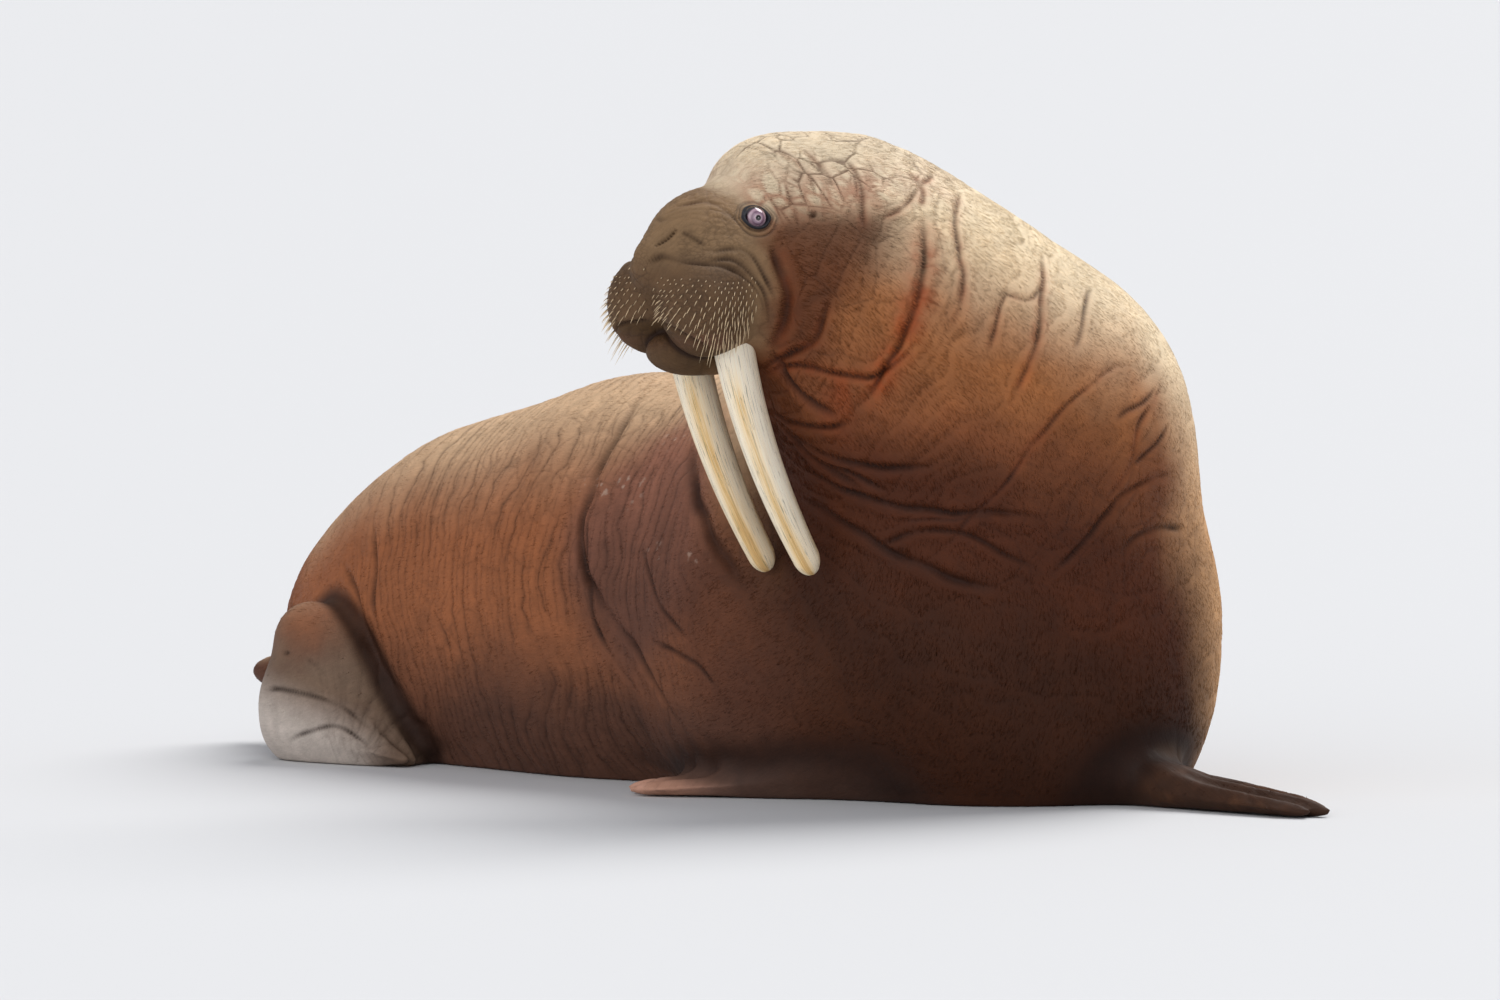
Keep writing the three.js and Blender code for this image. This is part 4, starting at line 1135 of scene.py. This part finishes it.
# The rings of a whisker: how far along it each lies, the first one sunk in the skin, and its share of the radius
WHISKER_STEPS = np.array([-0.12, 0.1, 0.35, 0.6, 0.82, 1.0])
WHISKER_TAPER = np.array([1, 1, 0.9, 0.72, 0.45, 0.08])
DOWN = np.array([0, 0, -1.0])
random = np.random.default_rng(4111)
grown = []
for _, s in SIDES:
    row, column = np.meshgrid(np.arange(WHISKER_ROWS), np.arange(WHISKER_COLUMNS), indexing="ij")
    low = ((row + 0.5 + 0.25 * (random.random(row.shape) - 0.5)) / WHISKER_ROWS).ravel()
    out = ((column + 0.5 * (row % 2) + 0.25 * random.random(row.shape)) / WHISKER_COLUMNS).ravel()
    root = on_pad(s, -36 + 172 * out, 34 - 86 * low)
    normal = unit(slope_of(bare_field, root)[1])
    head = on_head(root)
    own = (head[:, 1] * s > 6) & (jaw_field(root) > 5) & (head[:, 0] > -10) & (over_mouth(head) > 4)
    own &= random.random(len(root)) < 1.5 * smooth(-20, 30, head[:, 0])
    way = unit(0.8 * normal + DOWN + head_way((0.1, 0, 0)) + 0.09 * random.normal(size=root.shape))
    longer = np.clip(1.25 - 1.1 * out, 0, 1) * smooth(0.7, 0.95, low)
    length = (4 + 15 * smooth(0.05, 0.6, low)) * (1 - 0.4 * smooth(0.75, 1, low)) + 40 * longer
    length = length * (0.75 + 0.5 * random.random(len(root)))
    grown.append((root[own], way[own], length[own]))
roots, ways, lengths = (np.concatenate(part) for part in zip(*grown))
droop = DOWN * (lengths * 0.28)[:, None]
centers = (roots[:, None] + ways[:, None] * (lengths[:, None] * WHISKER_STEPS)[..., None]
           + droop[:, None] * (np.maximum(WHISKER_STEPS, 0) ** 2)[None, :, None])
tangents = unit(np.gradient(centers, axis=1))
sides = unit(np.cross(tangents, (0.3, 0.2, 1.0)))
uprights = np.cross(sides, tangents)
radii = WHISKER_RADIUS * WHISKER_TAPER * (0.8 + 0.4 * random.random(len(roots)))[:, None]
angle = np.linspace(0, 2 * math.pi, WHISKER_SIDES, endpoint=False)[None, None, :, None]
tubes = centers[:, :, None] + radii[:, :, None, None] * (
    np.cos(angle) * sides[:, :, None] + np.sin(angle) * uprights[:, :, None])
in_one, one = loft(tubes[0])
firsts = np.arange(len(roots)) * len(in_one)
whiskers = make_mesh("whiskers", tubes.reshape(-1, 3), (one[None, :, ::-1] + firsts[:, None, None]).reshape(-1, 3))
shaft = mix(*paints("5a4230 dfc6a0"), smooth(0.05, 0.4, WHISKER_STEPS))
shaft = (0.8 + 0.35 * random.random(len(roots)))[:, None, None, None] * shaft[None, :, None, :]
give_color(whiskers, "shaft", np.broadcast_to(shaft, tubes.shape).reshape(-1, 3))
bristle = Nodes("bristle")
whiskers.data.materials.append(bristle.finish(bristle.attribute("shaft"), 0.4))
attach(whiskers, "root")
print("whiskers", len(roots))

# Short fur: slim closed tufts that lie back along the body, each sunk at its root
TUFTS = 120000
FUR_PIECES = 4
BLADE_FACES = np.array([(0, 2, 1), (0, 3, 2), (1, 2, 3), (0, 1, 3)])
# How bright each corner of a tuft is: its two roots, its middle and its tip
BLADE_TONES = np.array([0.95, 0.95, 1.02, 1.1])
# How deep a tuft's root is sunk, in millimetres
ROOT_SUNK = 0.25
# The unwrap: the length of the body it holds, and the size and shape of each tuft's patch
UNWRAP_LENGTH = 3200.0
PATCH = 0.003
PATCH_CORNERS = PATCH * np.array([(0, 0), (1, 0), (0.5, 0.5), (0.5, 0.87)])
corners = points[triangles]
area = np.linalg.norm(np.cross(corners[:, 1] - corners[:, 0], corners[:, 2] - corners[:, 0]), axis=1) / 2
middles = corners.mean(axis=1)
face_along, face_shade, face_lid = (values[triangles].mean(axis=1) for values in (along, shade, lid_rim_and_shade))
on_face = smooth(-20, 30, on_head(middles)[:, 0]) * smooth(2450, 2560, face_along)
on_crown = smooth(2150, 2400, face_along) * (1 - on_face)
on_neck = smooth(1500, 1800, face_along)
on_limb = np.zeros(len(middles))
for field, _ in limbs:
    on_limb = np.maximum(on_limb, smooth(20, 2, field(middles)) * smooth(330, 200, middles[:, 2]))
density = area * (0.55 + 0.5 * on_neck + 0.7 * on_crown) * (1 - 0.92 * on_limb) * (1 - 0.7 * on_face)
density *= smooth(0.5, 0.15, face_shade) * (face_lid < 0.02) * smooth(6, 40, middles[:, 2])
random = np.random.default_rng(905)
chosen = random.choice(len(middles), TUFTS, p=density / density.sum())
spread = np.sqrt(random.random((TUFTS, 1)))
other = random.random((TUFTS, 1))
weights = np.concatenate([1 - spread, spread * (1 - other), spread * other], axis=1)


def at_roots(values):
    """Values of the skin's points, as they are at the roots of the tufts"""
    values = values[triangles[chosen]]
    return (values * weights.reshape(weights.shape + (1,) * (values.ndim - 2))).sum(axis=1)


root = at_roots(points)
up = unit(at_roots(normals))
away = ((root[:, None] - spine_line) ** 2).sum(axis=2)
near_spine = np.exp(-(away - away.min(axis=1, keepdims=True)) / SPINE_REACH ** 2)
lie = -unit(near_spine @ spine_ways) + 0.22 * noise_vector(root, 90, 81)
lie += 0.07 * random.normal(size=root.shape) + 0.25 * DOWN
lie = unit(lie - up * (lie * up).sum(axis=1)[:, None])
size = ((9.0 + 3.0 * on_crown - 5.0 * on_face)[chosen] * (0.7 + 0.6 * random.random(TUFTS)))[:, None]
half_wide = ((0.9 - 0.4 * on_face)[chosen] * (0.8 + 0.4 * random.random(TUFTS)))[:, None]
side = np.cross(up, lie) * half_wide
blades = np.stack([
    root - side - up * ROOT_SUNK,
    root + side - up * ROOT_SUNK,
    root + lie * size * 0.3 + up * (0.15 + 0.025 * size),
    root + lie * size + up * (0.05 + 0.045 * size),
], axis=1)
tuft_tone = at_roots(colors) * (0.92 + 0.18 * random.random((TUFTS, 1)))
blade_tone = tuft_tone[:, None] * BLADE_TONES[None, :, None]
unwrapped = np.stack([at_roots(along) / UNWRAP_LENGTH, at_roots(around) / (2 * math.pi) + 0.5], axis=1)
unwrapped = np.clip(unwrapped, 0.0, 1 - PATCH)[:, None] + PATCH_CORNERS
coat = Nodes("coat")
coat_material = coat.finish(coat.attribute("hide"), 0.65, Specular_IOR_Level=0.12)
for n in range(FUR_PIECES):
    some = slice(n, None, FUR_PIECES)
    faces = (BLADE_FACES[None] + 4 * np.arange(len(blades[some]))[:, None, None]).reshape(-1, 3)
    fur = make_mesh(f"fur_{n + 1}", blades[some].reshape(-1, 3), faces)
    give_color(fur, "hide", blade_tone[some].reshape(-1, 3))
    bake = fur.data.uv_layers.new(name="OFBake")
    bake.data.foreach_set("uv", unwrapped[some].reshape(-1, 2)[faces.ravel()].astype(np.float32).ravel())
    fur.data.materials.append(coat_material)
    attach(fur, "root")

# Floor, light and camera
FLOOR_HALF = 2500.0
# The photograph's width, its focal length and how far its horizon lies over its middle, all in its own pixels
PICTURE_WIDTH, FOCAL_LENGTH, HORIZON_OVER = 1500, 8960, 507
FILM_WIDTH = 36
CAMERA_BACK = 16.0
CAMERA_HEIGHT = 1.45
floor_mesh = bpy.data.meshes.new("floor")
floor_mesh.from_pydata([(FLOOR_HALF * x, FLOOR_HALF * y, 0) for x, y in ((-1, -1), (1, -1), (1, 1), (-1, 1))],
                       [], [(0, 1, 2, 3)])
floor_mesh.materials.append(Nodes("floor").finish((0.62, 0.63, 0.65, 1), 0.8))
floor = placed("floor", floor_mesh)

scene = bpy.context.scene
world = bpy.data.worlds.new("studio")
scene.world = world
world.use_nodes = True
backdrop = world.node_tree.nodes["Background"].inputs
backdrop["Color"].default_value = (0.9, 0.93, 1.0, 1)
backdrop["Strength"].default_value = 0.4
scene.view_settings.view_transform = "Standard"


def soft_light(name, place, power, spread, color):
    """A large soft light that shines from a place towards the origin"""
    data = bpy.data.lights.new(name, "SUN")
    data.energy = power
    data.angle = math.radians(spread)
    data.color = color
    light = placed(name, data)
    x, y, z = place
    light.rotation_euler = (math.atan2(math.hypot(x, y), z), 0, math.atan2(x, -y))
    light.location = place


soft_light("overhead", (1.7, 1.7, 3.0), 3.0, 45, (1.0, 0.98, 0.95))
soft_light("front", (-1.6, -3.0, 1.6), 1.55, 80, (1.0, 0.98, 0.96))

camera_data = bpy.data.cameras.new("camera")
camera_data.lens = FOCAL_LENGTH / PICTURE_WIDTH * FILM_WIDTH
camera_data.clip_end = 5000
camera = placed("camera", camera_data)
camera.location = (-PLAN_ORIGIN[0] * MILLIMETRE, -CAMERA_BACK - PLAN_ORIGIN[1] * MILLIMETRE, CAMERA_HEIGHT)
camera.rotation_euler = (math.pi / 2 - math.atan(HORIZON_OVER / FOCAL_LENGTH), 0, 0)
scene.camera = camera
